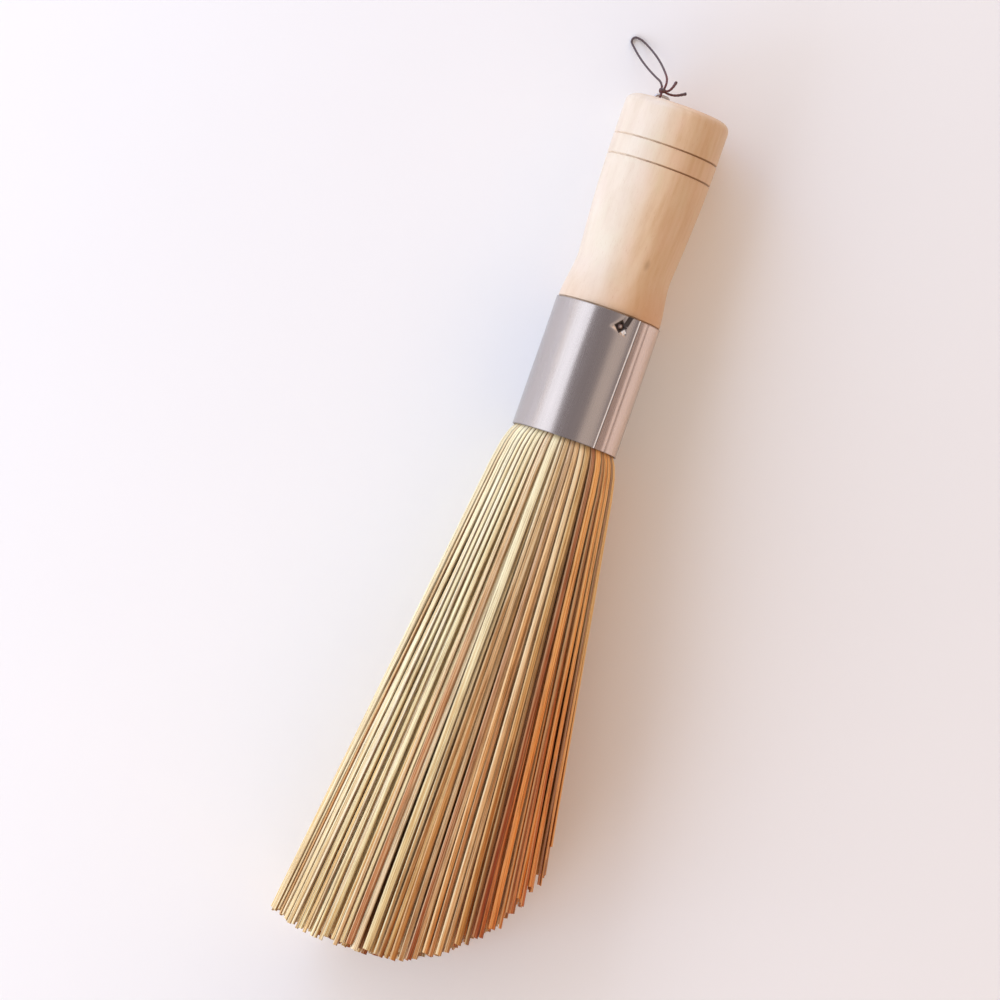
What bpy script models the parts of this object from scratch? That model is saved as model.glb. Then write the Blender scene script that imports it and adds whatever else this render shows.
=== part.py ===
"""A wok brush: split bamboo strips in a rolled steel ferrule, on a turned wooden handle.

The brush is modelled upright, with the handle on top, its front towards -Y and the mouth of
the ferrule at height zero. An empty then lays it on a table, where it rests on the end of
the handle and on the tips of the rear strips. The hanging cord is drawn as it lies there.
"""

import math
import random

import bmesh
import bpy
from mathutils import Matrix, Vector
from mathutils.geometry import interpolate_bezier

# Fits, in metres
CLEARANCE = 0.0003          # gap that two touching pieces keep
OVERRUN = 0.002             # how far a cutter reaches past what it cuts
MERGE_DISTANCE = 0.000001

# Ferrule: one sheet rolled round, with its outer end lapped over its inner end
FERRULE_LENGTH = 0.0402
FERRULE_WALL = 0.0005
FERRULE_SIDES = 72
LAP_EDGE_ANGLE = math.radians(35)
LAP_ANGLE = math.radians(50)
LAP_RAMP_ANGLE = math.radians(10)
LAP_GAP = 0.0001

# Handle: lengths and heights are measured from the ferrule's upper rim
HANDLE_LENGTH = 0.0649
HANDLE_RADIUS = 0.01625     # at its widest, and of the ferrule round its spigot
HANDLE_SIDES = 32
WIDEST_FROM_END = 0.0131
WAIST_RADIUS = 0.01445
WAIST_HEIGHT = 0.0146
SHOULDER_RADIUS = 0.0159
SHOULDER_ROUNDING = 0.0004
END_ROUNDING = 0.0028
GROOVE_WIDTH = 0.0007
GROOVE_DEPTH = 0.0004
FIRST_GROOVE_FROM_END = 0.0131
GROOVE_SPACING = 0.0063
SPIGOT_LENGTH = 0.014
SPIGOT_CHAMFER = 0.0008

# Tacks that pin the ferrule to the spigot
TACK_ANGLE = math.radians(16)
TACK_FROM_RIM = 0.0036
TACK_HEAD_RADIUS = 0.0011
TACK_HEAD_HEIGHT = 0.0005
TACK_SHANK_RADIUS = 0.0006
TACK_SHANK_LENGTH = 0.0065
TACK_POINT_LENGTH = 0.0015
TACK_SIDES = 12

# Wire staple in the end of the handle, which the cord is tied to
STAPLE_WIRE_RADIUS = 0.00045
STAPLE_WIDTH = 0.0042       # between the middles of its legs
STAPLE_HEIGHT = 0.0018      # from the end of the handle to the middle of the bow
STAPLE_LEG_DEPTH = 0.007
STAPLE_OFFSET = 0.006       # from the axis, to the left
STAPLE_BEND_SHARE = 0.5     # of half its width, taken by each bend

# Hanging cord: one string, tied to the staple, with its loop lying on the table
CORD_DIAMETER = 0.0007
CORD_SPACING = 0.0016       # between the points of the loop
CORD_TIE_OFFSET = 0.0007    # from the middle of the staple, to the left
KNOT_LENGTH = 0.0017        # out from the handle
KNOT_WIDTH = 0.0022
KNOT_DEPTH = 0.0017
# The loop's route, as offsets from the middle of the knot: out, to the left and up
CORD_ROUTE = [
    (0.0012, -0.0005, 0.0000),
    (0.0026, -0.0005, -0.0004),
    (0.0041, -0.0001, -0.0017),
    (0.0056, 0.0009, -0.0041),
    (0.0075, 0.0025, -0.0074),
    (0.0095, 0.0046, -0.0112),
    (0.0113, 0.0071, -0.0139),
    (0.0126, 0.0094, -0.0152),
    (0.0133, 0.0114, -0.0154),
    (0.0132, 0.0130, -0.0154),
    (0.0118, 0.0135, -0.0154),
    (0.0102, 0.0121, -0.0148),
    (0.0084, 0.0102, -0.0131),
    (0.0065, 0.0079, -0.0099),
    (0.0048, 0.0055, -0.0062),
    (0.0034, 0.0032, -0.0027),
    (0.0024, 0.0014, -0.0007),
    (0.0012, 0.0005, 0.0000),
]
# The two cut ends that leave the knot
FIRST_TAIL_ROUTE = [
    (0.0000, 0.0000, 0.0000),
    (0.0005, -0.0018, 0.0001),
    (0.0020, -0.0027, -0.0003),
    (0.0039, -0.0032, -0.0011),
]
SECOND_TAIL_ROUTE = [
    (0.0000, 0.0000, 0.0000),
    (-0.0003, -0.0022, -0.0006),
    (0.0001, -0.0045, -0.0010),
    (0.0016, -0.0071, -0.0019),
]

# Wooden wedge in the middle of the strips, which spreads them at the mouth
WEDGE_RADIUS = 0.0022
WEDGE_POINT_RADIUS = 0.0012
WEDGE_POINT_LENGTH = 0.006
WEDGE_PROUD = 0.005
WEDGE_SIDES = 16

# Bamboo strips: rings of four-sided strips, each ring fused to its slice of the root block
RING_COUNT = 8
STRIP_PITCH = 0.0015
STRIP_ROOT_GAP = 0.0003
STRIP_WIDTH = 0.0021        # at the tip
STRIP_THICKNESS = 0.0012
STRIP_LENGTH = 0.165        # the longest strips, from the mouth of the ferrule
STRIP_LENGTH_SPREAD = 0.004
LEFT_SHORTENING = 0.005
RIGHT_SHORTENING = 0.048    # the brush is worn shorter on its right side
ROOT_RECESS = 0.0005        # the root block stops this far inside the mouth
STRAIGHT_RINGS = 4          # the inner rings run straight, without a bend below the mouth
BEND_DROP = 0.012           # strips straighten this far below the mouth
BEND_WIDTH_SHARE = 0.35     # of the way from the root's width to the tip's
BUNDLE_BULGE = 0.0017       # extra radius that the bundle takes at the mouth
FLARE_LEFT = math.radians(7.05)
FLARE_RIGHT = math.radians(9.46)
FLARE_DEPTH = math.radians(4.26)
STRAY_SHARE = 0.55          # of the free space round a strip's tip
RING_TURN = math.radians(137.5)   # turns each ring against the next
SEED = 7

# The table: strips are flattened a little where they carry the brush
REST_FLAT_DEPTH = 0.0005
LEAN_LIMIT = math.radians(20)
LEAN_STEPS = 40

# Sizes that follow from those above
FERRULE_BORE_RADIUS = HANDLE_RADIUS - FERRULE_WALL
ROOT_OUTER_RADIUS = FERRULE_BORE_RADIUS - CLEARANCE
ROOT_INNER_RADIUS = WEDGE_RADIUS + CLEARANCE
RING_STEP = (ROOT_OUTER_RADIUS - ROOT_INNER_RADIUS + CLEARANCE) / RING_COUNT
SPIGOT_RADIUS = FERRULE_BORE_RADIUS - CLEARANCE
SPIGOT_BOTTOM = FERRULE_LENGTH - SPIGOT_LENGTH
ROOT_TOP = SPIGOT_BOTTOM - CLEARANCE
HANDLE_END = FERRULE_LENGTH + HANDLE_LENGTH


def clear_scene():
    """Removes every object of the scene."""
    for item in list(bpy.data.objects):
        bpy.data.objects.remove(item, do_unlink=True)


def material(name, colour, roughness, metallic=0.0):
    """A plain Principled material."""
    made = bpy.data.materials.new(name)
    made.use_nodes = True
    shader = made.node_tree.nodes["Principled BSDF"]
    shader.inputs["Base Color"].default_value = (*colour, 1.0)
    shader.inputs["Roughness"].default_value = roughness
    shader.inputs["Metallic"].default_value = metallic
    return made


def add_object(name, data, finish, parent):
    """Puts a mesh or a curve in the scene as one named piece."""
    piece = bpy.data.objects.new(name, data)
    data.materials.append(finish)
    bpy.context.scene.collection.objects.link(piece)
    piece.parent = parent
    return piece


def finish_mesh(bm, name, smooth_angle=None):
    """Turns a bmesh into a mesh whose faces point outwards."""
    bmesh.ops.remove_doubles(bm, verts=bm.verts, dist=MERGE_DISTANCE)
    bmesh.ops.recalc_face_normals(bm, faces=bm.faces)
    mesh = bpy.data.meshes.new(name)
    bm.to_mesh(mesh)
    bm.free()
    if smooth_angle is not None:
        mesh.shade_smooth()
        mesh.set_sharp_from_angle(angle=smooth_angle)
    return mesh


def turned_mesh(name, outline, sides):
    """A solid of revolution about Z, from an outline that starts and ends on the axis.

    The first corner lies half a side from +X, so that flat sides face -Y and +Y.
    """
    bm = bmesh.new()
    corners = [bm.verts.new((radius, 0, height)) for radius, height in outline]
    edges = [bm.edges.new(pair) for pair in zip(corners, corners[1:])]
    bmesh.ops.spin(
        bm, geom=corners + edges, cent=(0, 0, 0), axis=(0, 0, 1),
        angle=2 * math.pi, steps=sides, use_merge=True,
    )
    bmesh.ops.rotate(bm, verts=bm.verts, matrix=Matrix.Rotation(math.pi / sides, 3, "Z"))
    return finish_mesh(bm, name, math.radians(35))


def cut(piece, cutter):
    """Cuts a hidden solid out of a piece."""
    difference = piece.modifiers.new(cutter.name, "BOOLEAN")
    difference.operation = "DIFFERENCE"
    difference.solver = "EXACT"
    difference.object = cutter


def hide_cutter(cutter):
    """Marks an object as a guide that isn't a piece."""
    cutter.hide_render = True
    cutter.display_type = "WIRE"


def rod_mesh(name, radius, low, high, sides):
    """A round rod along Z."""
    return turned_mesh(name, [(0, low), (radius, low), (radius, high), (0, high)], sides)


# Handle

def handle_radius(height):
    """Radius of the grip at a height above the ferrule, without its roundings and grooves."""
    if height < WAIST_HEIGHT:
        swell = (1 + math.cos(math.pi * height / WAIST_HEIGHT)) / 2
        return WAIST_RADIUS + (SHOULDER_RADIUS - WAIST_RADIUS) * swell
    widest = HANDLE_LENGTH - WIDEST_FROM_END
    rise = min(1, (height - WAIST_HEIGHT) / (widest - WAIST_HEIGHT))
    return WAIST_RADIUS + (HANDLE_RADIUS - WAIST_RADIUS) * math.sin(math.pi / 2 * rise)


def quarter_round(radius, height, rounding, steps, upwards):
    """Points of a quarter circle at an outer corner, from its lower end to its upper end."""
    points = []
    for step in range(steps + 1):
        turn = math.pi / 2 * step / steps
        if upwards:
            inset, rise = 1 - math.cos(turn), math.sin(turn)
        else:
            inset, rise = 1 - math.sin(turn), 1 - math.cos(turn)
        points.append((radius - rounding * inset, height + rounding * rise))
    return points


def handle_outline():
    """Outline of the handle from the bottom of its spigot to its rounded end."""
    outline = [
        (0, SPIGOT_BOTTOM),
        (SPIGOT_RADIUS - SPIGOT_CHAMFER, SPIGOT_BOTTOM),
        (SPIGOT_RADIUS, SPIGOT_BOTTOM + SPIGOT_CHAMFER),
        (SPIGOT_RADIUS, FERRULE_LENGTH + CLEARANCE),
    ]
    shoulder_base = FERRULE_LENGTH + CLEARANCE
    outline += quarter_round(
        handle_radius(CLEARANCE + SHOULDER_ROUNDING), shoulder_base, SHOULDER_ROUNDING, 2, False,
    )
    grooves = [
        HANDLE_LENGTH - FIRST_GROOVE_FROM_END - GROOVE_SPACING,
        HANDLE_LENGTH - FIRST_GROOVE_FROM_END,
    ]
    low = CLEARANCE + SHOULDER_ROUNDING
    high = HANDLE_LENGTH - END_ROUNDING
    steps = 17
    heights = [low + (high - low) * step / steps for step in range(1, steps)]
    keep = [h for h in heights if all(abs(h - groove) > GROOVE_WIDTH for groove in grooves)]
    points = [(handle_radius(h), h) for h in keep]
    for groove in grooves:
        points += [
            (handle_radius(groove), groove - GROOVE_WIDTH / 2),
            (handle_radius(groove) - GROOVE_DEPTH, groove),
            (handle_radius(groove), groove + GROOVE_WIDTH / 2),
        ]
    points.sort(key=lambda point: point[1])
    outline += [(radius, FERRULE_LENGTH + height) for radius, height in points]
    outline += quarter_round(HANDLE_RADIUS, HANDLE_END - END_ROUNDING, END_ROUNDING, 4, True)
    outline.append((0, HANDLE_END))
    return outline


def make_handle(finish, parent):
    """The turned handle, with its spigot."""
    return add_object("handle", turned_mesh("handle", handle_outline(), HANDLE_SIDES), finish, parent)


# Ferrule and its tacks

def around(angle, radius, height):
    """A point at an angle from the front, turning towards the right."""
    return Vector((radius * math.sin(angle), -radius * math.cos(angle), height))


def make_ferrule(finish, parent):
    """The rolled sheet: a ring whose outer end rises over its inner end and laps it."""
    step_angle = 2 * math.pi / FERRULE_SIDES
    lap_steps = max(1, round(LAP_ANGLE / step_angle))
    ramp_steps = max(1, round(LAP_RAMP_ANGLE / step_angle))
    start = LAP_EDGE_ANGLE - lap_steps * step_angle
    bm = bmesh.new()
    rows = []
    for step in range(FERRULE_SIDES + lap_steps + 1):
        rise = min(1, max(0, (step - FERRULE_SIDES + ramp_steps) / ramp_steps))
        inner = FERRULE_BORE_RADIUS + (FERRULE_WALL + LAP_GAP) * rise
        angle = start + step * step_angle
        rows.append([
            bm.verts.new(around(angle, inner, 0)),
            bm.verts.new(around(angle, inner + FERRULE_WALL, 0)),
        ])
    sheet = [bm.faces.new((a[0], a[1], b[1], b[0])) for a, b in zip(rows, rows[1:])]
    raised = bmesh.ops.extrude_face_region(bm, geom=sheet)["geom"]
    corners = [item for item in raised if isinstance(item, bmesh.types.BMVert)]
    bmesh.ops.translate(bm, verts=corners, vec=(0, 0, FERRULE_LENGTH))
    mesh = finish_mesh(bm, "ferrule", math.radians(30))
    return add_object("ferrule", mesh, finish, parent)


def tack_seat_radius(lapped):
    """How far from the axis a tack's head sits, on one layer of sheet or on the lap."""
    layers = FERRULE_BORE_RADIUS + FERRULE_WALL + CLEARANCE
    return layers + FERRULE_WALL + LAP_GAP if lapped else layers


def tack_outline():
    """Outline of a tack from its point to its domed head, with the head's underside at zero."""
    return [
        (0, -TACK_SHANK_LENGTH),
        (TACK_SHANK_RADIUS, -TACK_SHANK_LENGTH + TACK_POINT_LENGTH),
        (TACK_SHANK_RADIUS, 0),
        (TACK_HEAD_RADIUS, 0),
        (TACK_HEAD_RADIUS, TACK_HEAD_HEIGHT / 2),
        (TACK_HEAD_RADIUS / 2, TACK_HEAD_HEIGHT),
        (0, TACK_HEAD_HEIGHT),
    ]


def radial_pose(angle, radius, height):
    """Turns a piece's Z outwards at an angle round the ferrule and moves it there."""
    turn = around(angle, 1, 0).to_track_quat("Z", "Y").to_matrix().to_4x4()
    return Matrix.Translation(around(angle, radius, height)) @ turn


def make_tack(name, angle, lapped, targets, finish, parent):
    """One tack, with the hole that it makes in the ferrule and in the handle."""
    pose = radial_pose(angle, tack_seat_radius(lapped), FERRULE_LENGTH - TACK_FROM_RIM)
    tack = add_object(name, turned_mesh(name, tack_outline(), TACK_SIDES), finish, parent)
    tack.matrix_local = pose
    hole_name = name + "_hole"
    hole = rod_mesh(
        hole_name, TACK_SHANK_RADIUS + CLEARANCE, -TACK_SHANK_LENGTH - CLEARANCE, OVERRUN, TACK_SIDES,
    )
    cutter = add_object(hole_name, hole, finish, parent)
    cutter.matrix_local = pose
    hide_cutter(cutter)
    for target in targets:
        cut(target, cutter)
    return tack


# Staple for the cord

def make_staple(handle, finish, parent):
    """A bow of wire across the end of the handle, with both legs driven into it."""
    middle = -STAPLE_OFFSET
    half = STAPLE_WIDTH / 2
    bend = half * STAPLE_BEND_SHARE
    top = HANDLE_END + STAPLE_HEIGHT
    route = [Vector((-half, 0, HANDLE_END - STAPLE_LEG_DEPTH)), Vector((-half, 0, HANDLE_END))]
    steps = 4
    for step in range(steps + 1):
        turn = math.pi / 2 * step / steps
        inset, drop = bend * (1 - math.cos(turn)), bend * (1 - math.sin(turn))
        route.append(Vector((-half + inset, 0, top - drop)))
    route += [Vector((-point.x, 0, point.z)) for point in reversed(route)]
    route = [point + Vector((middle, 0, 0)) for point in route]
    wire = wire_curve("cord_staple", route, STAPLE_WIRE_RADIUS, 1)
    staple = add_object("cord_staple", wire, finish, parent)
    for side, x in (("left", middle - half), ("right", middle + half)):
        hole_name = "staple_hole_" + side
        hole = rod_mesh(
            hole_name, STAPLE_WIRE_RADIUS + CLEARANCE,
            HANDLE_END - STAPLE_LEG_DEPTH - CLEARANCE, HANDLE_END + OVERRUN, TACK_SIDES,
        )
        cutter = add_object(hole_name, hole, finish, parent)
        cutter.location = (x, 0, 0)
        hide_cutter(cutter)
        cut(handle, cutter)
    return staple


def wire_curve(name, route, radius, resolution):
    """A round wire or cord along a route, closed at both ends."""
    curve = bpy.data.curves.new(name, "CURVE")
    curve.dimensions = "3D"
    curve.bevel_depth = radius
    curve.bevel_resolution = resolution
    curve.use_fill_caps = True
    spline = curve.splines.new("POLY")
    spline.points.add(len(route) - 1)
    for point, place in zip(spline.points, route):
        point.co = (*place, 1)
    return curve


# Hanging cord

def smooth_route(points, spacing):
    """Evenly spaced points along a smooth curve through the points of a route."""
    places = [Vector(point) for point in points]
    padded = [2 * places[0] - places[1], *places, 2 * places[-1] - places[-2]]
    fine = [places[0]]
    for before, start, end, after in zip(padded, padded[1:], padded[2:], padded[3:]):
        run = interpolate_bezier(start, start + (end - before) / 6, end - (after - start) / 6, end, 24)
        fine += run[1:]
    lengths = [0]
    for start, end in zip(fine, fine[1:]):
        lengths.append(lengths[-1] + (end - start).length)
    count = max(2, round(lengths[-1] / spacing))
    even, at = [], 0
    for step in range(count + 1):
        target = lengths[-1] * step / count
        while at < len(fine) - 2 and lengths[at + 1] < target:
            at += 1
        part = (target - lengths[at]) / (lengths[at + 1] - lengths[at])
        even.append(fine[at].lerp(fine[at + 1], part))
    return even


def tie_place():
    """Middle of the staple's bow where the string is tied round it."""
    return Vector((-STAPLE_OFFSET - CORD_TIE_OFFSET, 0, HANDLE_END + STAPLE_HEIGHT))


def tie_radius():
    """Radius of the turn of string round the bow, to the string's middle."""
    return STAPLE_WIRE_RADIUS + CLEARANCE + CORD_DIAMETER / 2


def knot_place():
    """Middle of the knot, just clear of the bow."""
    return tie_place() + Vector((0, 0, STAPLE_WIRE_RADIUS + CLEARANCE + KNOT_LENGTH / 2))


def upright(offset):
    """Turns an offset given as out, left and up for the lying brush into the upright brush's axes."""
    out, left, up = offset
    return Vector((-left, -up, out))


def make_knot(finish, parent):
    """The knot, its turn of string round the staple and its two cut ends, as one piece."""
    bm = bmesh.new()
    bmesh.ops.create_icosphere(bm, subdivisions=2, radius=0.5)
    bmesh.ops.scale(bm, verts=bm.verts, vec=(KNOT_WIDTH, KNOT_DEPTH, KNOT_LENGTH))
    bmesh.ops.translate(bm, verts=bm.verts, vec=knot_place())
    knot = add_object("cord_knot", finish_mesh(bm, "cord_knot", math.radians(60)), finish, parent)
    turn_steps = 12
    turn = [
        tie_place() + tie_radius() * Vector((0, math.sin(angle), math.cos(angle)))
        for angle in (2 * math.pi * step / turn_steps for step in range(turn_steps))
    ]
    strings = {"knot_turn": turn}
    for name, route in (("knot_first_tail", FIRST_TAIL_ROUTE), ("knot_second_tail", SECOND_TAIL_ROUTE)):
        strings[name] = [knot_place() + upright(offset) for offset in smooth_route(route, CORD_SPACING)]
    for name, route in strings.items():
        curve = wire_curve(name, route, CORD_DIAMETER / 2, 2)
        curve.splines[0].use_cyclic_u = name == "knot_turn"
        guide = add_object(name + "_curve", curve, finish, None)
        bm = bmesh.new()
        bm.from_mesh(bpy.data.meshes.new_from_object(guide))
        bpy.data.objects.remove(guide, do_unlink=True)
        solid = add_object(name, finish_mesh(bm, name), finish, parent)
        hide_cutter(solid)
        join = knot.modifiers.new(name, "BOOLEAN")
        join.operation = "UNION"
        join.solver = "MANIFOLD"
        join.object = solid
    return knot


def make_loop(frame, finish):
    """The loop of the cord, from the knot out over the table and back."""
    knot = frame.matrix_world @ knot_place()
    route = [knot + offset for offset in smooth_route(CORD_ROUTE, CORD_SPACING)]
    curve = wire_curve("hanging_cord", route, CORD_DIAMETER / 2, 2)
    return add_object("hanging_cord", curve, finish, None)


# Wedge

def make_wedge(finish, parent):
    """The peg in the middle of the bundle, from the spigot to just past the mouth."""
    outline = [
        (0, -WEDGE_PROUD),
        (WEDGE_RADIUS, -WEDGE_PROUD),
        (WEDGE_RADIUS, ROOT_TOP - WEDGE_POINT_LENGTH),
        (WEDGE_POINT_RADIUS, ROOT_TOP),
        (0, ROOT_TOP),
    ]
    mesh = turned_mesh("centre_wedge", outline, WEDGE_SIDES)
    return add_object("centre_wedge", mesh, finish, parent)


# Strips

def spread(share_x, share_y, drop):
    """Where a strip is, a distance below the mouth, from its place as shares of the bore."""
    start = ROOT_OUTER_RADIUS + BUNDLE_BULGE
    left = start + math.tan(FLARE_LEFT) * drop
    right = start + math.tan(FLARE_RIGHT) * drop
    depth = start + math.tan(FLARE_DEPTH) * drop
    width = (right + left) / 2 + (right - left) / 2 * share_x
    return Vector((share_x * width, share_y * depth, -drop))


def strip_length(share_x):
    """How far a strip reaches below the mouth, before chance shortens it."""
    shortening = RIGHT_SHORTENING if share_x > 0 else LEFT_SHORTENING
    return STRIP_LENGTH - shortening * share_x ** 2


def place_section(face, centre, outward, width, thickness):
    """Moves the four corners of an extruded face to a section about a new centre."""
    old = face.calc_center_median()
    old_outward = Vector((old.x, old.y, 0)).normalized()
    old_across = Vector((-old_outward.y, old_outward.x, 0))
    across = Vector((-outward.y, outward.x, 0))
    for corner in face.verts:
        offset = corner.co - old
        side = math.copysign(width / 2, offset.dot(old_across))
        layer = math.copysign(thickness / 2, offset.dot(old_outward))
        corner.co = centre + across * side + outward * layer


def grow_strip(bm, root, root_width, bent, chance):
    """Grows one strip from its cell of the root block, straight or with a short bend, to its tip."""
    place = root.calc_center_median() / ROOT_OUTER_RADIUS
    drop = strip_length(place.x) - chance.uniform(0, STRIP_LENGTH_SPREAD)
    bend = spread(place.x, place.y, BEND_DROP)
    outward = Vector((bend.x, bend.y, 0)).normalized()
    across = Vector((-outward.y, outward.x, 0))
    growth = spread(0, 1, drop).y / ROOT_OUTER_RADIUS
    stray_across = STRAY_SHARE / 2 * (STRIP_PITCH * growth - STRIP_WIDTH) * chance.uniform(-1, 1)
    stray_out = STRAY_SHARE / 2 * (RING_STEP * growth - STRIP_THICKNESS) * chance.uniform(-1, 1)
    tip = spread(place.x, place.y, drop) + across * stray_across + outward * stray_out
    section = root
    if bent:
        width = root_width + (STRIP_WIDTH - root_width) * BEND_WIDTH_SHARE
        section = bmesh.ops.extrude_discrete_faces(bm, faces=[section])["faces"][0]
        place_section(section, bend, outward, width, STRIP_THICKNESS)
    section = bmesh.ops.extrude_discrete_faces(bm, faces=[section])["faces"][0]
    place_section(section, tip, outward, STRIP_WIDTH, STRIP_THICKNESS)


def ring_mesh(ring, chance):
    """One ring of strips: an annular slice of the root block and the strips that grow from it."""
    inner = ROOT_INNER_RADIUS + ring * RING_STEP
    outer = inner + RING_STEP - CLEARANCE
    middle = (inner + outer) / 2
    count = max(6, round(2 * math.pi * middle / STRIP_PITCH))
    bm = bmesh.new()
    for radius in (inner, outer):
        bmesh.ops.create_circle(bm, cap_ends=False, segments=count, radius=radius)
    underside = bmesh.ops.bridge_loops(bm, edges=bm.edges[:])["faces"]
    bmesh.ops.translate(bm, verts=bm.verts, vec=(0, 0, ROOT_RECESS))
    raised = bmesh.ops.extrude_face_region(bm, geom=underside, use_keep_orig=True)["geom"]
    corners = [item for item in raised if isinstance(item, bmesh.types.BMVert)]
    bmesh.ops.translate(bm, verts=corners, vec=(0, 0, ROOT_TOP - ROOT_RECESS))
    bmesh.ops.rotate(bm, verts=bm.verts, matrix=Matrix.Rotation(ring * RING_TURN, 3, "Z"))
    bmesh.ops.recalc_face_normals(bm, faces=bm.faces)

    roots = [face for face in bm.faces if face.normal.z < -0.5]
    bmesh.ops.inset_individual(bm, faces=roots, thickness=STRIP_ROOT_GAP / 2, use_even_offset=True)
    root_width = 2 * math.pi * middle / count - STRIP_ROOT_GAP
    for root in roots:
        grow_strip(bm, root, root_width, ring >= STRAIGHT_RINGS, chance)
    return bm


# Lying on the table

def reach(points, lean):
    """How far the points reach towards a table behind the brush that leans by an angle."""
    return max(point.y * math.cos(lean) + point.z * math.sin(lean) for point in points)


def table_under(handle_points, strip_points):
    """Lean and distance of the flat table that touches the handle and the pressed strips."""
    low, high = 0, LEAN_LIMIT
    for _ in range(LEAN_STEPS):
        lean = (low + high) / 2
        if reach(strip_points, lean) - REST_FLAT_DEPTH > reach(handle_points, lean):
            low = lean
        else:
            high = lean
    return lean, reach(handle_points, lean)


def flatten_against(bm, lean, distance):
    """Cuts strips flat where they would reach through the table."""
    outward = Vector((0, math.cos(lean), math.sin(lean)))
    bmesh.ops.bisect_plane(
        bm, geom=bm.verts[:] + bm.edges[:] + bm.faces[:], dist=MERGE_DISTANCE,
        plane_co=outward * distance, plane_no=outward, clear_outer=True,
    )
    rims = [edge for edge in bm.edges if edge.is_boundary]
    if rims:
        bmesh.ops.edgeloop_fill(bm, edges=rims)


def lay_down(frame, lean, distance):
    """Lays the upright brush on its back, handle towards +X, and centres its box on the origin."""
    turn = (
        Matrix.Rotation(lean, 4, "Y")
        @ Matrix.Rotation(-math.pi / 2, 4, "X")
        @ Matrix.Rotation(math.pi / 2, 4, "Y")
    )
    frame.matrix_world = turn
    bpy.context.view_layer.update()
    graph = bpy.context.evaluated_depsgraph_get()
    corners = []
    for piece in frame.children:
        if piece.hide_render or piece.name == "cord_knot":
            continue
        shape = piece.evaluated_get(graph)
        corners += [piece.matrix_world @ corner.co for corner in shape.to_mesh().vertices]
        shape.to_mesh_clear()
    middle = [
        (min(corner[axis] for corner in corners) + max(corner[axis] for corner in corners)) / 2
        for axis in range(2)
    ]
    frame.matrix_world = Matrix.Translation((-middle[0], -middle[1], distance)) @ turn
    bpy.context.view_layer.update()


def main():
    """Makes the brush upright, lays it on the table and adds the loop of its cord."""
    clear_scene()
    wood = material("turned_wood", (0.78, 0.63, 0.45), 0.55)
    bamboo = material("split_bamboo", (0.72, 0.52, 0.28), 0.6)
    core_wood = material("wedge_wood", (0.55, 0.40, 0.24), 0.7)
    steel = material("ferrule_steel", (0.62, 0.60, 0.59), 0.28, 1.0)
    dark_steel = material("tack_steel", (0.25, 0.22, 0.20), 0.4, 1.0)
    cord = material("cord", (0.16, 0.07, 0.07), 0.7)

    frame = bpy.data.objects.new("lying_brush", None)
    bpy.context.scene.collection.objects.link(frame)

    handle = make_handle(wood, frame)
    ferrule = make_ferrule(steel, frame)
    make_tack("ferrule_tack_front", TACK_ANGLE, True, (ferrule, handle), dark_steel, frame)
    make_tack("ferrule_tack_back", TACK_ANGLE + math.pi, False, (ferrule, handle), dark_steel, frame)
    make_staple(handle, dark_steel, frame)
    make_knot(cord, frame)
    make_wedge(core_wood, frame)

    chance = random.Random(SEED)
    rings = [ring_mesh(ring, chance) for ring in range(RING_COUNT)]
    handle_points = [corner.co for corner in handle.data.vertices]
    strip_points = [corner.co for bm in rings for corner in bm.verts]
    lean, distance = table_under(handle_points, strip_points)
    for number, bm in enumerate(rings, start=1):
        flatten_against(bm, lean, distance)
        name = f"bamboo_strips_ring_{number}"
        add_object(name, finish_mesh(bm, name), bamboo, frame)
    lay_down(frame, lean, distance)
    make_loop(frame, cord)


main()
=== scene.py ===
"""A wok brush on a pale table: split bamboo in a rolled steel ferrule on a turned handle.

Every piece is modelled upright, as the solids are: the handle on top, the front towards -Y,
the right side towards +X and the mouth of the ferrule at height zero. LyingPose then lays it
on the table. Sizes are in metres.
"""

import logging
import math
import random
from dataclasses import dataclass
from enum import Enum

import bmesh
import bpy
from mathutils import Matrix, Vector
from mathutils.geometry import interpolate_bezier


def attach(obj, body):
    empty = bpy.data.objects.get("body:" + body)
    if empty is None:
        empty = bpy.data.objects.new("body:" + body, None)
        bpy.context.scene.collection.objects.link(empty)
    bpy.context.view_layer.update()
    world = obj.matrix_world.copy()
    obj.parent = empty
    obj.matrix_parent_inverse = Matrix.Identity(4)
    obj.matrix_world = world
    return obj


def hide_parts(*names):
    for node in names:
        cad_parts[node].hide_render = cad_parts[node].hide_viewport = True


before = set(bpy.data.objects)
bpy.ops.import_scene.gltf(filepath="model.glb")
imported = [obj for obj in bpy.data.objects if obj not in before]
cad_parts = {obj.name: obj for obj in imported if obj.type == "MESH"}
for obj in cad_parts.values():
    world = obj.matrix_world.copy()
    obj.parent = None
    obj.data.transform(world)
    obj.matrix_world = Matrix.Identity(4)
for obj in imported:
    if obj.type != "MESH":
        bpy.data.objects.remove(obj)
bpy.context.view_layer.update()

LOG = logging.getLogger("wok_brush")
BODY = "root"
Shade = tuple[float, float, float, float]
Outline = list[tuple[float, float]]


def shade(red: float, green: float, blue: float) -> Shade:
    """Linear colour of a shade given as a screen shows it.

    Args:
        red, green, blue: screen values from 0 to 255.

    Returns:
        The linear colour, opaque.
    """
    linear = []
    for value in (red, green, blue):
        part = value / 255
        linear.append(part / 12.92 if part <= 0.04045 else ((part + 0.055) / 1.055) ** 2.4)
    return (*linear, 1.0)


# Shared sizes and the way the brush lies

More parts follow.
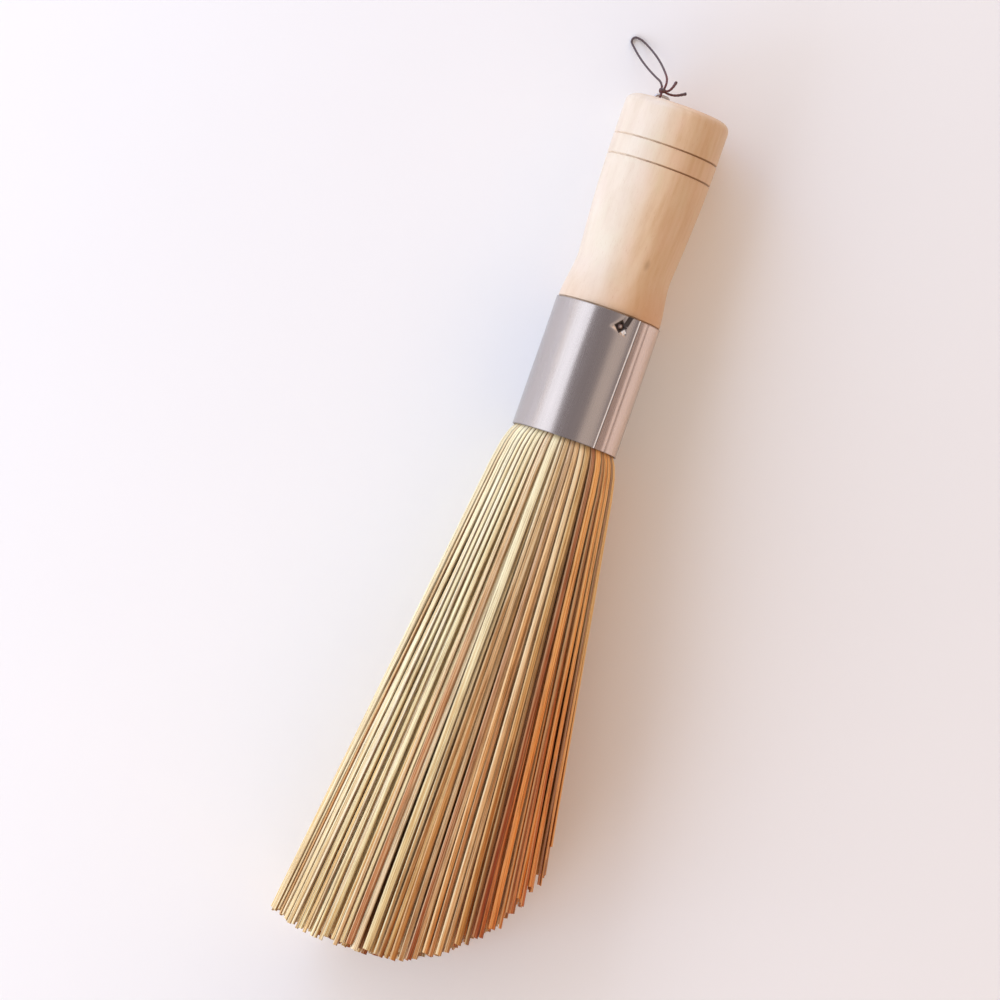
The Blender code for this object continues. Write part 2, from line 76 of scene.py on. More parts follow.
@dataclass(frozen=True)
class BrushSizes:
    """Sizes that more than one piece needs."""

    gap: float = 0.0003
    ferrule_length: float = 0.0402
    ferrule_wall: float = 0.0005
    bore_radius: float = 0.01575
    handle_length: float = 0.0649
    handle_radius: float = 0.01617
    spigot_length: float = 0.014
    wedge_radius: float = 0.0022
    tack_angle: float = math.radians(16)
    tack_from_rim: float = 0.0036
    lap_edge_angle: float = math.radians(34.6)
    lap_edge_slant: float = math.radians(3.4)
    lap_gap: float = 0.0001
    groove_from_end: float = 0.0131
    groove_spacing: float = 0.0063
    groove_width: float = 0.0007
    staple_offset: float = 0.006
    staple_height: float = 0.0018
    staple_wire_radius: float = 0.00045

    @property
    def root_radius(self) -> float:
        """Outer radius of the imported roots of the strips."""
        return self.bore_radius - self.gap

    @property
    def spigot_bottom(self) -> float:
        """Height of the lower end of the handle's spigot."""
        return self.ferrule_length - self.spigot_length

    @property
    def root_top(self) -> float:
        """Height that the strips reach to inside the ferrule."""
        return self.spigot_bottom - self.gap

    @property
    def handle_end(self) -> float:
        """Height of the handle's free end."""
        return self.ferrule_length + self.handle_length

    @property
    def groove_heights(self) -> tuple[float, float]:
        """Heights of the two lines on the handle."""
        upper = self.handle_end - self.groove_from_end
        return upper - self.groove_spacing, upper

    @property
    def tack_height(self) -> float:
        """Height of the tacks' middles."""
        return self.ferrule_length - self.tack_from_rim

    @property
    def sheet_face(self) -> float:
        """Outer radius of one layer of the ferrule's sheet."""
        return self.bore_radius + self.ferrule_wall


SIZES = BrushSizes()


@dataclass(frozen=True)
class LyingPose:
    """How the upright brush lies on the table, on its handle's end and its rear strips."""

    lean: float = math.radians(2.67064)
    mouth_x: float = 0.0292705
    mouth_y: float = 0.0000785
    mouth_z: float = 0.0209208

    def matrix(self) -> Matrix:
        """Turns upright places into places on the table."""
        return (
            Matrix.Translation((self.mouth_x, self.mouth_y, self.mouth_z))
            @ Matrix.Rotation(self.lean, 4, "Y")
            @ Matrix.Rotation(-math.pi / 2, 4, "X")
            @ Matrix.Rotation(math.pi / 2, 4, "Y")
        )


LYING = LyingPose().matrix()
TABLE_CLEARANCE = 0.00005


def around(angle: float, radius: float, height: float) -> Vector:
    """The upright place at an angle from the front towards the right, a radius and a height."""
    return Vector((radius * math.sin(angle), -radius * math.cos(angle), height))


def wrapped(angle: float) -> float:
    """The same angle within half a turn of zero."""
    return (angle + math.pi) % (2 * math.pi) - math.pi


def smooth_step(value: float, low: float, high: float) -> float:
    """Rises smoothly from 0 where the value is low to 1 where it is high."""
    share = min(1.0, max(0.0, (value - low) / (high - low)))
    return share * share * (3 - 2 * share)


# Shader arithmetic

class Wire:
    """An output socket whose value takes part in arithmetic."""

    def __init__(self, graph: "Graph", socket: bpy.types.NodeSocket) -> None:
        """Keeps the socket and the graph that it belongs to."""
        self.graph = graph
        self.socket = socket

    def __add__(self, other: object) -> "Wire":
        """Sum."""
        return self.graph.math("ADD", self, other)

    def __radd__(self, other: object) -> "Wire":
        """Sum, with the wire on the right."""
        return self.graph.math("ADD", other, self)

    def __sub__(self, other: object) -> "Wire":
        """Difference."""
        return self.graph.math("SUBTRACT", self, other)

    def __rsub__(self, other: object) -> "Wire":
        """Difference, with the wire on the right."""
        return self.graph.math("SUBTRACT", other, self)

    def __mul__(self, other: object) -> "Wire":
        """Product."""
        return self.graph.math("MULTIPLY", self, other)

    def __pow__(self, other: object) -> "Wire":
        """Power."""
        return self.graph.math("POWER", self, other)

    def __abs__(self) -> "Wire":
        """Size without sign."""
        return self.graph.math("ABSOLUTE", self)


class Blend(Enum):
    """Ways in which two colours are mixed."""

    PLAIN = "MIX"
    DARKEN = "MULTIPLY"


class Graph:
    """The nodes of one material."""

    def __init__(self, name: str) -> None:
        """Starts a material that has only its output node."""
        self.material = bpy.data.materials.new(name)
        self.material.use_nodes = True
        self.tree = self.material.node_tree
        self.tree.nodes.clear()
        self.output = self.tree.nodes.new("ShaderNodeOutputMaterial")

    def node(
        self,
        kind: str,
        settings: dict[str, object] | None = None,
        inputs: dict[str | int, object] | None = None,
        output: str | int = 0,
    ) -> Wire:
        """Adds a node.

        Args:
            kind: the node's type.
            settings: its settings by name; "stops" holds a ramp's positions and colours.
            inputs: values or wires by socket name or number.
            output: the socket that is wanted.

        Returns:
            That output socket.
        """
        made = self.tree.nodes.new(kind)
        for name, value in (settings or {}).items():
            if name == "stops":
                self.set_stops(made.color_ramp, value)
            else:
                setattr(made, name, value)
        for name, value in (inputs or {}).items():
            socket = made.inputs[name]
            if isinstance(value, Wire):
                self.tree.links.new(value.socket, socket)
            else:
                socket.default_value = value
        return Wire(self, made.outputs[output])

    @staticmethod
    def set_stops(ramp: bpy.types.ColorRamp, stops: list[tuple[float, Shade]]) -> None:
        """Gives a ramp its stops.

        Args:
            ramp: the ramp, with its two first stops.
            stops: positions and colours, in order.
        """
        while len(ramp.elements) < len(stops):
            ramp.elements.new(1.0)
        for element, (position, colour) in zip(ramp.elements, stops):
            element.position = position
            element.color = colour

    def object_place(self) -> Wire:
        """Places on the lying brush."""
        return self.node("ShaderNodeTexCoord", output="Object")

    def upright_place(self) -> Wire:
        """Places in the upright brush, from those on the lying one."""
        back = LYING.inverted()
        return self.node(
            "ShaderNodeMapping",
            {"vector_type": "POINT"},
            {
                "Vector": self.object_place(),
                "Location": tuple(back.translation),
                "Rotation": tuple(back.to_euler()),
            },
        )

    def attribute(self, name: str, output: str = "Vector") -> Wire:
        """An attribute of the piece's own mesh."""
        return self.node("ShaderNodeAttribute", {"attribute_name": name}, output=output)

    def parts(self, vector: Wire) -> tuple[Wire, Wire, Wire]:
        """The three values of a vector."""
        first = self.node("ShaderNodeSeparateXYZ", inputs={"Vector": vector})
        outputs = first.socket.node.outputs
        return first, Wire(self, outputs[1]), Wire(self, outputs[2])

    def vector(self, first: object, second: object, third: object) -> Wire:
        """A vector of three values."""
        return self.node("ShaderNodeCombineXYZ", inputs={0: first, 1: second, 2: third})

    def scaled(self, vector: Wire, scale: tuple[float, float, float]) -> Wire:
        """A vector times a scale on each axis."""
        return self.node("ShaderNodeVectorMath", {"operation": "MULTIPLY"}, {0: vector, 1: scale})

    def math(self, operation: str, *values: object) -> Wire:
        """The result of a Math node on numbers or wires."""
        return self.node("ShaderNodeMath", {"operation": operation}, dict(enumerate(values)))

    def distance(self, place: Wire, point: Vector | tuple[float, float, float]) -> Wire:
        """Distance from a place to a fixed point."""
        inputs = {0: place, 1: tuple(point)}
        return self.node("ShaderNodeVectorMath", {"operation": "DISTANCE"}, inputs, output="Value")

    def noise(
        self, place: Wire, waves: tuple[float, float, float] = (1, 1, 1), detail: float = 3.0,
        rough: float = 0.55,
    ) -> Wire:
        """Cloudy noise from 0 to 1.

        Args:
            place: where it is read.
            waves: waves for each unit of the place, on each axis.
            detail: how many finer layers it has.
            rough: how strong each finer layer is.

        Returns:
            The noise.
        """
        vector = self.scaled(place, waves)
        inputs = {"Vector": vector, "Scale": 1.0, "Detail": detail, "Roughness": rough}
        return self.node("ShaderNodeTexNoise", inputs=inputs)

    def step(self, value: Wire, low: float, high: float) -> Wire:
        """A smooth rise from 0 to 1 between two values, or a fall where low is above high."""
        falling = low > high
        settings = {"interpolation_type": "SMOOTHSTEP"}
        inputs = {
            0: value, 1: min(low, high), 2: max(low, high),
            3: 1.0 if falling else 0.0, 4: 0.0 if falling else 1.0,
        }
        return self.node("ShaderNodeMapRange", settings, inputs)

    def ramp(self, value: Wire, stops: list[tuple[float, Shade]]) -> Wire:
        """A colour read from a ramp."""
        return self.node("ShaderNodeValToRGB", {"stops": stops}, {0: value})

    def mix(self, share: object, first: object, second: object, way: Blend = Blend.PLAIN) -> Wire:
        """A mix of two colours, with the share that the second one has."""
        settings = {"data_type": "RGBA", "blend_type": way.value}
        return self.node("ShaderNodeMix", settings, {0: share, 6: first, 7: second}, output=2)

    def bump(self, height: Wire, distance: float, strength: float = 1.0) -> Wire:
        """A normal bent by a height, which is given as a share of a real distance."""
        inputs = {"Height": height, "Distance": distance, "Strength": strength}
        return self.node("ShaderNodeBump", inputs=inputs)

    def finish(self, inputs: dict[str, object]) -> bpy.types.Material:
        """Ends the material with its shader.

        Args:
            inputs: values or wires of the Principled shader.

        Returns:
            The material.
        """
        shader = self.node("ShaderNodeBsdfPrincipled", inputs=inputs)
        self.tree.links.new(shader.socket, self.output.inputs["Surface"])
        return self.material


# Finishes

@dataclass(frozen=True)
class TurnedWood:
    """Pale close-grained wood, turned and left bare, with two burnt lines near its end."""

    name: str = "turned_wood"
    light: Shade = shade(241, 217, 186)
    middle: Shade = shade(232, 201, 164)
    deep: Shade = shade(216, 176, 131)
    green_tone: Shade = shade(228, 210, 166)
    pink_tone: Shade = shade(240, 202, 176)
    worn: Shade = shade(214, 160, 112)
    painted_lit_tone: Shade = shade(218, 222, 214)
    painted_shade_tone: Shade = shade(181, 128, 58)
    line: Shade = shade(142, 98, 64)
    hole_shade: Shade = shade(62, 38, 26)
    heart: tuple[float, float] = (0.024, 0.037)
    ring_width: float = 0.0017
    ring_wander: float = 0.006
    painted_lit_side: tuple[float, float] = (0.004, -0.008)
    painted_shade_side: tuple[float, float] = (0.002, 0.009)
    wear_and_shade_side: tuple[float, float] = (-0.004, 0.014)
    worn_reach: float = 0.016
    worn_drift: float = 0.012
    knot: tuple[float, float, float] = (0.0061, -0.0132, 0.0564)
    knot_radius: float = 0.0010
    knot_drift: float = 0.0012
    knot_squash: float = 0.6
    hole_shade_reach: tuple[float, float] = (0.0034, 0.0022)
    end_reach: tuple[float, float] = (0.0007, 0.0002)

    def grain(self, graph: Graph, place: Wire) -> tuple[Wire, Wire, Wire]:
        """Rings, mottling and fibres of the wood.

        Args:
            graph: the material's nodes.
            place: places in the upright brush.

        Returns:
            The three, each from 0 to 1.
        """
        x, y, _ = graph.parts(place)
        wander = graph.noise(place, (60, 60, 9), detail=2)
        across = ((x - self.heart[0]) ** 2 + (y - self.heart[1]) ** 2) ** 0.5
        phase = (across + wander * self.ring_wander) * (2 * math.pi / self.ring_width)
        rings = graph.math("SINE", phase) * 0.5 + 0.5
        mottle = graph.noise(place, (210, 210, 62), detail=4)
        return rings, mottle, graph.noise(place, (2600, 2600, 70), rough=0.6)

    def marked(self, graph: Graph, place: Wire, mottle: Wire, colour: Wire) -> Wire:
        """The wood with its small knot, its two burnt lines and painted shade in the tack's hole.

        Args:
            graph: the material's nodes.
            place: places in the upright brush.
            mottle: the wood's mottling.
            colour: its plain colour.

        Returns:
            The colour with the marks.
        """
        x, _, z = graph.parts(place)
        knot = (*self.knot[:2], self.knot[2] * self.knot_squash)
        off = graph.distance(graph.scaled(place, (1.0, 1.0, self.knot_squash)), knot)
        radius, width = self.knot_radius, SIZES.groove_width
        spot = graph.step(off + mottle * self.knot_drift, radius * 2, radius * 0.6)
        colour = graph.mix(spot * 0.34, colour, self.line)
        lower, upper = (
            graph.step(abs(z - height), width * 0.62, width * 0.18)
            for height in SIZES.groove_heights
        )
        # Painted light: the lines fade towards the lit left side; the mottle varies them too.
        burnt = graph.step(mottle + x * 24, 0.18, 0.66)
        colour = graph.mix((lower + upper) * (0.03 + burnt * 0.72), colour, self.line)
        # Painted shade: the wood that shows through the front tack's hole is darkened.
        tack = around(SIZES.tack_angle, SIZES.root_radius, SIZES.tack_height)
        stained = graph.step(graph.distance(place, tack), *self.hole_shade_reach)
        return graph.mix(stained, colour, self.hole_shade)

    def material(self) -> bpy.types.Material:
        """Builds the finish."""
        graph = Graph(self.name)
        place = graph.upright_place()
        x, _, z = graph.parts(place)
        rings, mottle, fibres = self.grain(graph, place)
        tone = mottle * 0.74 + rings * 0.07 + fibres * 0.19
        colour = graph.ramp(tone, [(0.22, self.deep), (0.50, self.middle), (0.78, self.light)])
        clouds = graph.noise(place, (130, 130, 75))
        colour = graph.mix(graph.step(clouds, 0.50, 0.68) * 0.28, colour, self.pink_tone)
        colour = graph.mix(graph.step(clouds, 0.48, 0.32) * 0.28, colour, self.green_tone)
        # Painted light and shade: paler towards the lit left side, browner towards the shaded
        # right.
        colour = graph.mix(graph.step(x, *self.painted_lit_side) * 0.36, colour, self.painted_lit_tone)
        colour = graph.mix(graph.step(x, *self.painted_shade_side) * 0.32, colour, self.painted_shade_tone)
        low = SIZES.ferrule_length
        # Wear from handling near the ferrule, made stronger on the right as painted shade of that
        # side.
        wear_and_shade = graph.step(z + (clouds - 0.5) * self.worn_drift, low + self.worn_reach, low)
        wear_and_shade = wear_and_shade * (0.25 + graph.step(x, *self.wear_and_shade_side) * 0.40)
        colour = graph.mix(wear_and_shade, colour, self.worn)
        pores = graph.noise(place, (5200, 5200, 420), detail=1)
        colour = graph.mix(graph.step(pores, 0.66, 0.74) * 0.25, colour, self.deep, Blend.DARKEN)
        colour = self.marked(graph, place, mottle, colour)
        end_grain = graph.step(z, *(SIZES.handle_end - inset for inset in self.end_reach))
        colour = graph.mix(end_grain * 0.22, colour, self.deep, Blend.DARKEN)
        relief = fibres * 0.5 + pores * 0.3 + rings * 0.2
        return graph.finish({
            "Base Color": colour,
            "Roughness": 0.38 + mottle * 0.14 + fibres * 0.08,
            "Coat Weight": 0.5,
            "Coat Roughness": 0.42,
            "Normal": graph.bump(relief, 0.00005, 0.5),
        })


@dataclass(frozen=True)
class RolledSteel:
    """Thin stainless sheet, half bright, with rolling streaks, rougher rims and painted light."""

    name: str = "ferrule_steel"
    bright: Shade = (0.57, 0.535, 0.53, 1.0)
    dull: Shade = (0.42, 0.39, 0.385, 1.0)
    table_reflection: Shade = (0.92, 0.69, 0.56, 1.0)
    painted_highlight: Shade = (0.96, 0.93, 0.88, 1.0)
    painted_shade: Shade = (0.040, 0.026, 0.020, 1.0)
    dull_shaded_rim_width: float = 0.00035
    highlight_width: float = 0.00058
    edge_blur: float = 0.0004
    table_reflection_reach: tuple[float, float] = (0.016, 0.010)
    lap_shadow_middle: float = 0.00025
    lap_shadow_reach: tuple[float, float] = (0.0005, 0.0001)
    unevenness: float = 0.0010
    hollow_reach: tuple[float, float] = (0.0029, 0.0025)
    fold_across: float = 0.0013
    fold_reach: tuple[float, float] = (0.0014, 0.0010)
    fold_start: tuple[float, float] = (0.0002, 0.0006)
    torn: tuple[float, float] = (0.0015, -0.0014)
    flap_highlight_reach: tuple[float, float] = (0.0009, 0.0006)

    def around_tack(self, graph: Graph, turn: Wire, height: Wire, rubs: Wire) -> tuple[Wire, Wire]:
        """Painted shade in the front tack's hollow and fold; painted highlight on the torn metal.

        Args:
            graph: the material's nodes.
            turn: angle from the front towards the right.
            height: height above the mouth.
            rubs: the sheet's rubbed places.

        Returns:
            The painted shade and the painted highlight, each from 0 to 1.
        """
        across = (turn - SIZES.tack_angle) * SIZES.sheet_face
        rise = height - SIZES.tack_height
        uneven = rubs * self.unevenness
        painted_shade = graph.step(abs(across) * 1.05 + abs(rise) + uneven, *self.hollow_reach)
        fold = graph.step(abs(across - self.fold_across - rise * 0.25) + uneven, *self.fold_reach)
        painted_shade = graph.math("MAXIMUM", painted_shade, fold * graph.step(rise, *self.fold_start))
        off = abs(across - self.torn[0]) + abs(rise - self.torn[1]) * 0.8
        return painted_shade, graph.step(off, *self.flap_highlight_reach)

    def material(self) -> bpy.types.Material:
        """Builds the finish."""
        graph = Graph(self.name)
        place = graph.upright_place()
        x, y, z = graph.parts(place)
        streaks = graph.noise(place, (900, 900, 7), detail=4, rough=0.6)
        hairlines = graph.noise(place, (5200, 5200, 26), detail=2)
        rubs = graph.noise(place, (190, 190, 80), detail=4)
        top = SIZES.ferrule_length
        rim = graph.step(z, self.dull_shaded_rim_width, 0.0) + graph.step(z, top - self.dull_shaded_rim_width, top)
        edge = z * (SIZES.lap_edge_slant / top) + (SIZES.lap_edge_angle - SIZES.lap_edge_slant / 2)
        turn = graph.math("ARCTAN2", x, 0 - y)
        past = (turn - edge) * SIZES.sheet_face
        # Painted highlight: a pale stripe along the lap's free edge, where its cut edge catches
        # light.
        width = self.highlight_width
        painted_highlight = graph.step(abs(past + width / 2), width * 0.75, width * 0.35)
        # Painted reflection: a pinkish tan band past the lap's edge stands for the reflected
        # table.
        table_reflection_share = graph.step(past, 0.0, self.edge_blur) * graph.step(past, *self.table_reflection_reach)
        # Painted shadow: a dark line beside the lap's step, on the side away from the light.
        gap = graph.step(abs(past - self.lap_shadow_middle), *self.lap_shadow_reach)
        painted_shade, torn = self.around_tack(graph, turn, z, rubs)
        colour = graph.mix(streaks * 0.40 + rubs * 0.30, self.bright, self.dull)
        colour = graph.mix(table_reflection_share * (0.55 + rubs * 0.3), colour, self.table_reflection)
        # The rims are rougher, and darker as painted shade where the sheet meets the strips and
        # handle.
        colour = graph.mix(rim * 0.60, colour, self.dull, Blend.DARKEN)
        colour = graph.mix(gap * 0.55, colour, self.painted_shade)
        colour = graph.mix(painted_highlight * 0.95, colour, self.painted_highlight)
        # Painted shade: the hollow and fold at the front tack are made nearly black, dull and
        # rough.
        colour = graph.mix(painted_shade, colour, self.painted_shade)
        # Painted highlight on the tongue of metal torn up beside the tack.
        colour = graph.mix(torn * 0.85, colour, self.painted_highlight)
        painted_shade = painted_shade * (1 - torn)
        # Where highlights are painted, the metal is made less metallic and rougher to catch the
        # light.
        bare = graph.math("MAXIMUM", painted_highlight, torn)
        polish = 0.19 + rubs * 0.10 + hairlines * 0.06 + rim * 0.15
        return graph.finish({
            "Base Color": colour,
            "Metallic": 1.0 - painted_shade * 0.9 - bare * 0.7,
            "Roughness": polish + painted_shade * 0.3 + bare * 0.30,
            "Normal": graph.bump(hairlines * 0.35 + streaks * 0.65, 0.00001, 0.5),
        })


@dataclass(frozen=True)
class DarkSteel:
    """Dull dark steel of the tacks and the staple, with a little rust."""

    name: str = "tack_steel"
    clean: Shade = (0.56, 0.51, 0.48, 1.0)
    rust: Shade = shade(84, 48, 34)
    unshaded_centre_radius: float = 0.00030
    shaded_ring_radius: float = 0.0016
    head_height: float = 0.0005

    def material(self) -> bpy.types.Material:
        """Builds the finish."""
        graph = Graph(self.name)
        place = graph.object_place()
        patches = graph.noise(place, (1400, 1400, 1400), detail=4)
        grain = graph.noise(place, (7000, 7000, 7000), detail=2)
        rust_and_shade = graph.step(patches, 0.54, 0.68) * 0.5
        # Painted shade: each tack head is darkened, in the rust colour, round a small clean
        # centre.
        for angle in (SIZES.tack_angle, SIZES.tack_angle + math.pi):
            head = around(angle, SIZES.sheet_face + self.head_height, SIZES.tack_height)
            off = graph.distance(place, LYING @ head)
            rim = graph.step(off, self.unshaded_centre_radius, self.unshaded_centre_radius * 1.5)
            rim = rim * graph.step(off, self.shaded_ring_radius * 1.3, self.shaded_ring_radius)
            rust_and_shade = graph.math("MAXIMUM", rust_and_shade, rim)
        return graph.finish({
            "Base Color": graph.mix(rust_and_shade * 0.9, self.clean, self.rust),
            "Metallic": 1.0 - rust_and_shade * 0.6,
            "Roughness": 0.34 + rust_and_shade * 0.3 + grain * 0.1,
            "Normal": graph.bump(grain * 0.6 + patches * 0.4, 0.00002, 0.6),
        })


@dataclass(frozen=True)
class WedgeWood:
    """Raw wood of the peg in the middle of the bundle."""

    name: str = "wedge_wood"
    light: Shade = shade(206, 166, 118)
    dark: Shade = shade(150, 106, 66)

    def material(self) -> bpy.types.Material:
        """Builds the finish."""
        graph = Graph(self.name)
        grain = graph.noise(graph.upright_place(), (2200, 2200, 90), detail=4)
        return graph.finish({
            "Base Color": graph.ramp(grain, [(0.32, self.dark), (0.66, self.light)]),
            "Roughness": 0.62 + grain * 0.2,
            "Normal": graph.bump(grain, 0.00006, 0.8),
        })


@dataclass(frozen=True)
class SplitBamboo:
    """Raw split bamboo with fibres along each strip, a darker tip, and painted light and shade."""

    name: str = "split_bamboo"
    fresh: Shade = shade(255, 242, 196)
    pale: Shade = shade(255, 249, 210)
    worn: Shade = (0.80, 0.62, 0.42, 1.0)
    fibre: Shade = (0.46, 0.34, 0.22, 1.0)
    # Painted shade: along each strip's right edge and on the strips inside the ferrule
    edge: Shade = shade(104, 62, 32)
    gap_shade: Shade = shade(58, 28, 12)
    # A redder darkening of the lower right of the bundle, partly painted shade of that side
    rust: Shade = (1.0, 0.74, 0.55, 1.0)
    mouth_reach: float = 0.125
    mouth_blur: float = 0.002
    wear_start: float = 0.050
    wear_end: float = 0.215
    wear_drift: float = 0.05
    lower_right_shade_reach: tuple[float, float] = (0.035, 0.105)

    def material(self) -> bpy.types.Material:
        """Builds the finish. Its attribute holds the place across, the drop and the side share."""
        graph = Graph(self.name)
        tint = graph.attribute("strip_tint", "Color")
        across, drop, side = graph.parts(graph.attribute("strip_place"))
        drift = graph.noise(graph.vector(across * 300, drop * 22, 0.0), detail=2)
        bands = graph.noise(graph.vector(across * 1900, drop * 14, 5.0))
        fibres = graph.noise(graph.vector(across * 4600, drop * 45, 0.0), rough=0.65)
        threads = graph.noise(graph.vector(across * 11000, drop * 130, 3.0), detail=2)
        _, _, blue = graph.parts(tint)
        young = graph.step(blue, 0.12, 0.45)
        left = graph.attribute("strip_tint", "Alpha")
        # Paler near the mouth, far more on the lit left: partly fresh tone, partly painted light.
        upper = left * 0.62 + 0.08
        colour = graph.mix(graph.step(drop, self.mouth_reach, 0.0) * upper, tint, self.pale)
        # Redder lower down on the right, the shaded side: partly tone, partly painted shade.
        redness_and_shade = graph.step(drop, *self.lower_right_shade_reach) * graph.step(left, 0.35, 0.0) * 0.7
        # A paler tone of the strip, for its pale streaks and for the painted highlight on its lit
        # edge.
        pale_streak_and_highlight = graph.mix(0.36 + young * 0.26, tint, self.fresh)
        worn = graph.step(drop + drift * self.wear_drift, self.wear_start, self.wear_end)
        stained = worn * 0.80 + graph.step(drift, 0.45, 0.70) * (0.6 - young * 0.2)
        colour = graph.mix(stained, colour, self.worn, Blend.DARKEN)
        grain = graph.step(bands, 0.50, 0.58) * (1 - young * 0.4)
        colour = graph.mix(grain, colour, self.worn, Blend.DARKEN)
        colour = graph.mix(graph.step(bands, 0.48, 0.40) * 0.75, colour, pale_streak_and_highlight)
        grain = graph.step(fibres, 0.51, 0.60) * (0.95 - young * 0.27)
        colour = graph.mix(grain, colour, self.fibre, Blend.DARKEN)
        colour = graph.mix(graph.step(threads, 0.54, 0.68) * 0.35, colour, pale_streak_and_highlight)
        kind = graph.step(graph.noise(graph.vector(across * 30, 0.0, 9.0), detail=0), 0.44, 0.52)
        # Painted highlight along the left edge of each strip, on the side the light comes from.
        lit = graph.step(side + fibres * 0.3, -0.40, -0.72)
        colour = graph.mix(lit * (0.50 + kind * 0.45), colour, pale_streak_and_highlight)
        # Painted shade along the right edge of each strip, the side away from the light.
        rim = graph.step(abs(side), 0.70, 0.97) * graph.step(side, -0.9, -0.2)
        colour = graph.mix(rim * (0.75 - kind * 0.25), colour, self.edge)
        # Painted shade in the gaps at the right edge of each strip, mostly on the right of the
        # bundle.
        gap_shade = graph.step(side, 0.52, 0.80) * (0.55 - left * 0.55)
        colour = graph.mix(gap_shade, colour, self.gap_shade)
        colour = graph.mix(redness_and_shade, colour, self.rust, Blend.DARKEN)
        # Painted shade on the strips inside the ferrule.
        inside = graph.step(drop, self.mouth_blur, -self.mouth_blur)
        colour = graph.mix(inside * 0.6, colour, self.edge)
        relief = fibres * 0.5 + threads * 0.25 + bands * 0.25 - side * side * 1.3
        return graph.finish({
            "Base Color": colour,
            "Roughness": 0.42 + fibres * 0.22 + worn * 0.08,
            "Specular IOR Level": 0.35,
            "Normal": graph.bump(relief, 0.00012, 0.8),
        })


@dataclass(frozen=True)
class WaxedString:
    """Dark waxed string of two twisted plies, rubbed redder where it is tied."""

    name: str = "cord"
    dark: Shade = shade(66, 48, 50)
    grey: Shade = shade(128, 110, 110)
    red: Shade = shade(118, 50, 46)
    tied_reach: tuple[float, float] = (0.010, 0.002)

    def material(self) -> bpy.types.Material:
        """Builds the finish. Its attribute holds the way along and two places round the string."""
        graph = Graph(self.name)
        place = graph.attribute("string_place")
        along, _, _ = graph.parts(place)
        plies = graph.attribute("string_ply", "Fac")
        fluff = graph.noise(place, (900, 2.2, 2.2), detail=4)
        patches = graph.noise(graph.vector(along * 160, 0.0, 0.0), detail=2)
        colour = graph.mix(fluff * 0.55 + patches * 0.3, self.dark, self.grey)
        tied = graph.step(abs(along), *self.tied_reach)
        colour = graph.mix(tied * 0.75, colour, self.red)
        # Painted shade in the furrows between the plies.
        colour = graph.mix((1 - plies) * 0.45, colour, self.dark, Blend.DARKEN)
        return graph.finish({
            "Base Color": colour,
            "Roughness": 0.44 + fluff * 0.25,
            "Normal": graph.bump(plies * 0.7 + fluff * 0.3, 0.00008, 0.8),
        })


@dataclass(frozen=True)
class TableTop:
    """A plain pale surface with a trace of texture."""

    name: str = "table_top"
    light: Shade = (0.94, 0.925, 0.895, 1.0)
    dark: Shade = (0.91, 0.895, 0.865, 1.0)

    def material(self) -> bpy.types.Material:
        """Builds the finish."""
        graph = Graph(self.name)
        clouds = graph.noise(graph.object_place(), (9, 9, 9), detail=4)
        return graph.finish({
            "Base Color": graph.mix(clouds, self.light, self.dark),
            "Roughness": 0.72 + clouds * 0.1,
        })


# Making pieces

def turned(outline: Outline, steps: int) -> bmesh.types.BMesh:
    """A solid of revolution about the axis.

    Args:
        outline: radii and heights from one end of the axis to the other.
        steps: how many sides it has.

    Returns:
        The closed solid, with its normals outwards.
    """
    bm = bmesh.new()
    corners = [bm.verts.new((radius, 0, height)) for radius, height in outline]
    edges = [bm.edges.new(pair) for pair in zip(corners, corners[1:])]
    bmesh.ops.spin(
        bm, geom=corners + edges, cent=(0, 0, 0), axis=(0, 0, 1),
        angle=2 * math.pi, steps=steps, use_merge=True,
    )
    bmesh.ops.remove_doubles(bm, verts=bm.verts, dist=0.000001)
    bmesh.ops.recalc_face_normals(bm, faces=bm.faces)
    return bm


def corner_arc(radius: float, height: float, rounding: float, steps: int, top: bool) -> Outline:
    """A quarter circle at an outer corner of a turned outline, from low to high.

    Args:
        radius: radius of the straight side.
        height: height where the arc starts.
        rounding: radius of the arc.
        steps: how many straight pieces it has.
        top: whether the corner is at the top.

    Returns:
        Its points.
    """
    points = []
    for step in range(steps + 1):
        turn = math.pi / 2 * step / steps
        inset = 1 - math.cos(turn) if top else 1 - math.sin(turn)
        rise = math.sin(turn) if top else 1 - math.cos(turn)
        points.append((radius - rounding * inset, height + rounding * rise))
    return points


def meshed(bm: bmesh.types.BMesh, name: str) -> bpy.types.Mesh:
    """The mesh of a bmesh, which is freed."""
    mesh = bpy.data.meshes.new(name)
    bm.to_mesh(mesh)
    bm.free()
    return mesh


def put_in_scene(name: str, data: bpy.types.ID) -> bpy.types.Object:
    """A new object in the scene, with its data."""
    made = bpy.data.objects.new(name, data)
    bpy.context.scene.collection.objects.link(made)
    return made


def add_piece(
    bm: bmesh.types.BMesh,
    name: str,
    finish: bpy.types.Material,
    nodes: list[str],
    sharp: float = 35,
    lying: bool = False,
) -> bpy.types.Object:
    """Makes an object of a bmesh and puts it in the place of its solids.

    Args:
        bm: the shape, which is freed.
        name: the piece's name.
        finish: its material.
        nodes: the solids that it stands for.
        sharp: edges that bend more degrees than this stay sharp.
        lying: whether the shape is already laid on the table.

    Returns:
        The piece.
    """
    if not lying:
        bmesh.ops.transform(bm, matrix=LYING, verts=bm.verts)
    mesh = meshed(bm, name)
    mesh.shade_smooth()
    mesh.set_sharp_from_angle(angle=math.radians(sharp))
    mesh.materials.append(finish)
    piece = put_in_scene(name, mesh)
    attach(piece, BODY)
    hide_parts(*nodes)
    LOG.info("%s: %d faces, in place of %s", name, len(mesh.polygons), ", ".join(nodes))
    return piece


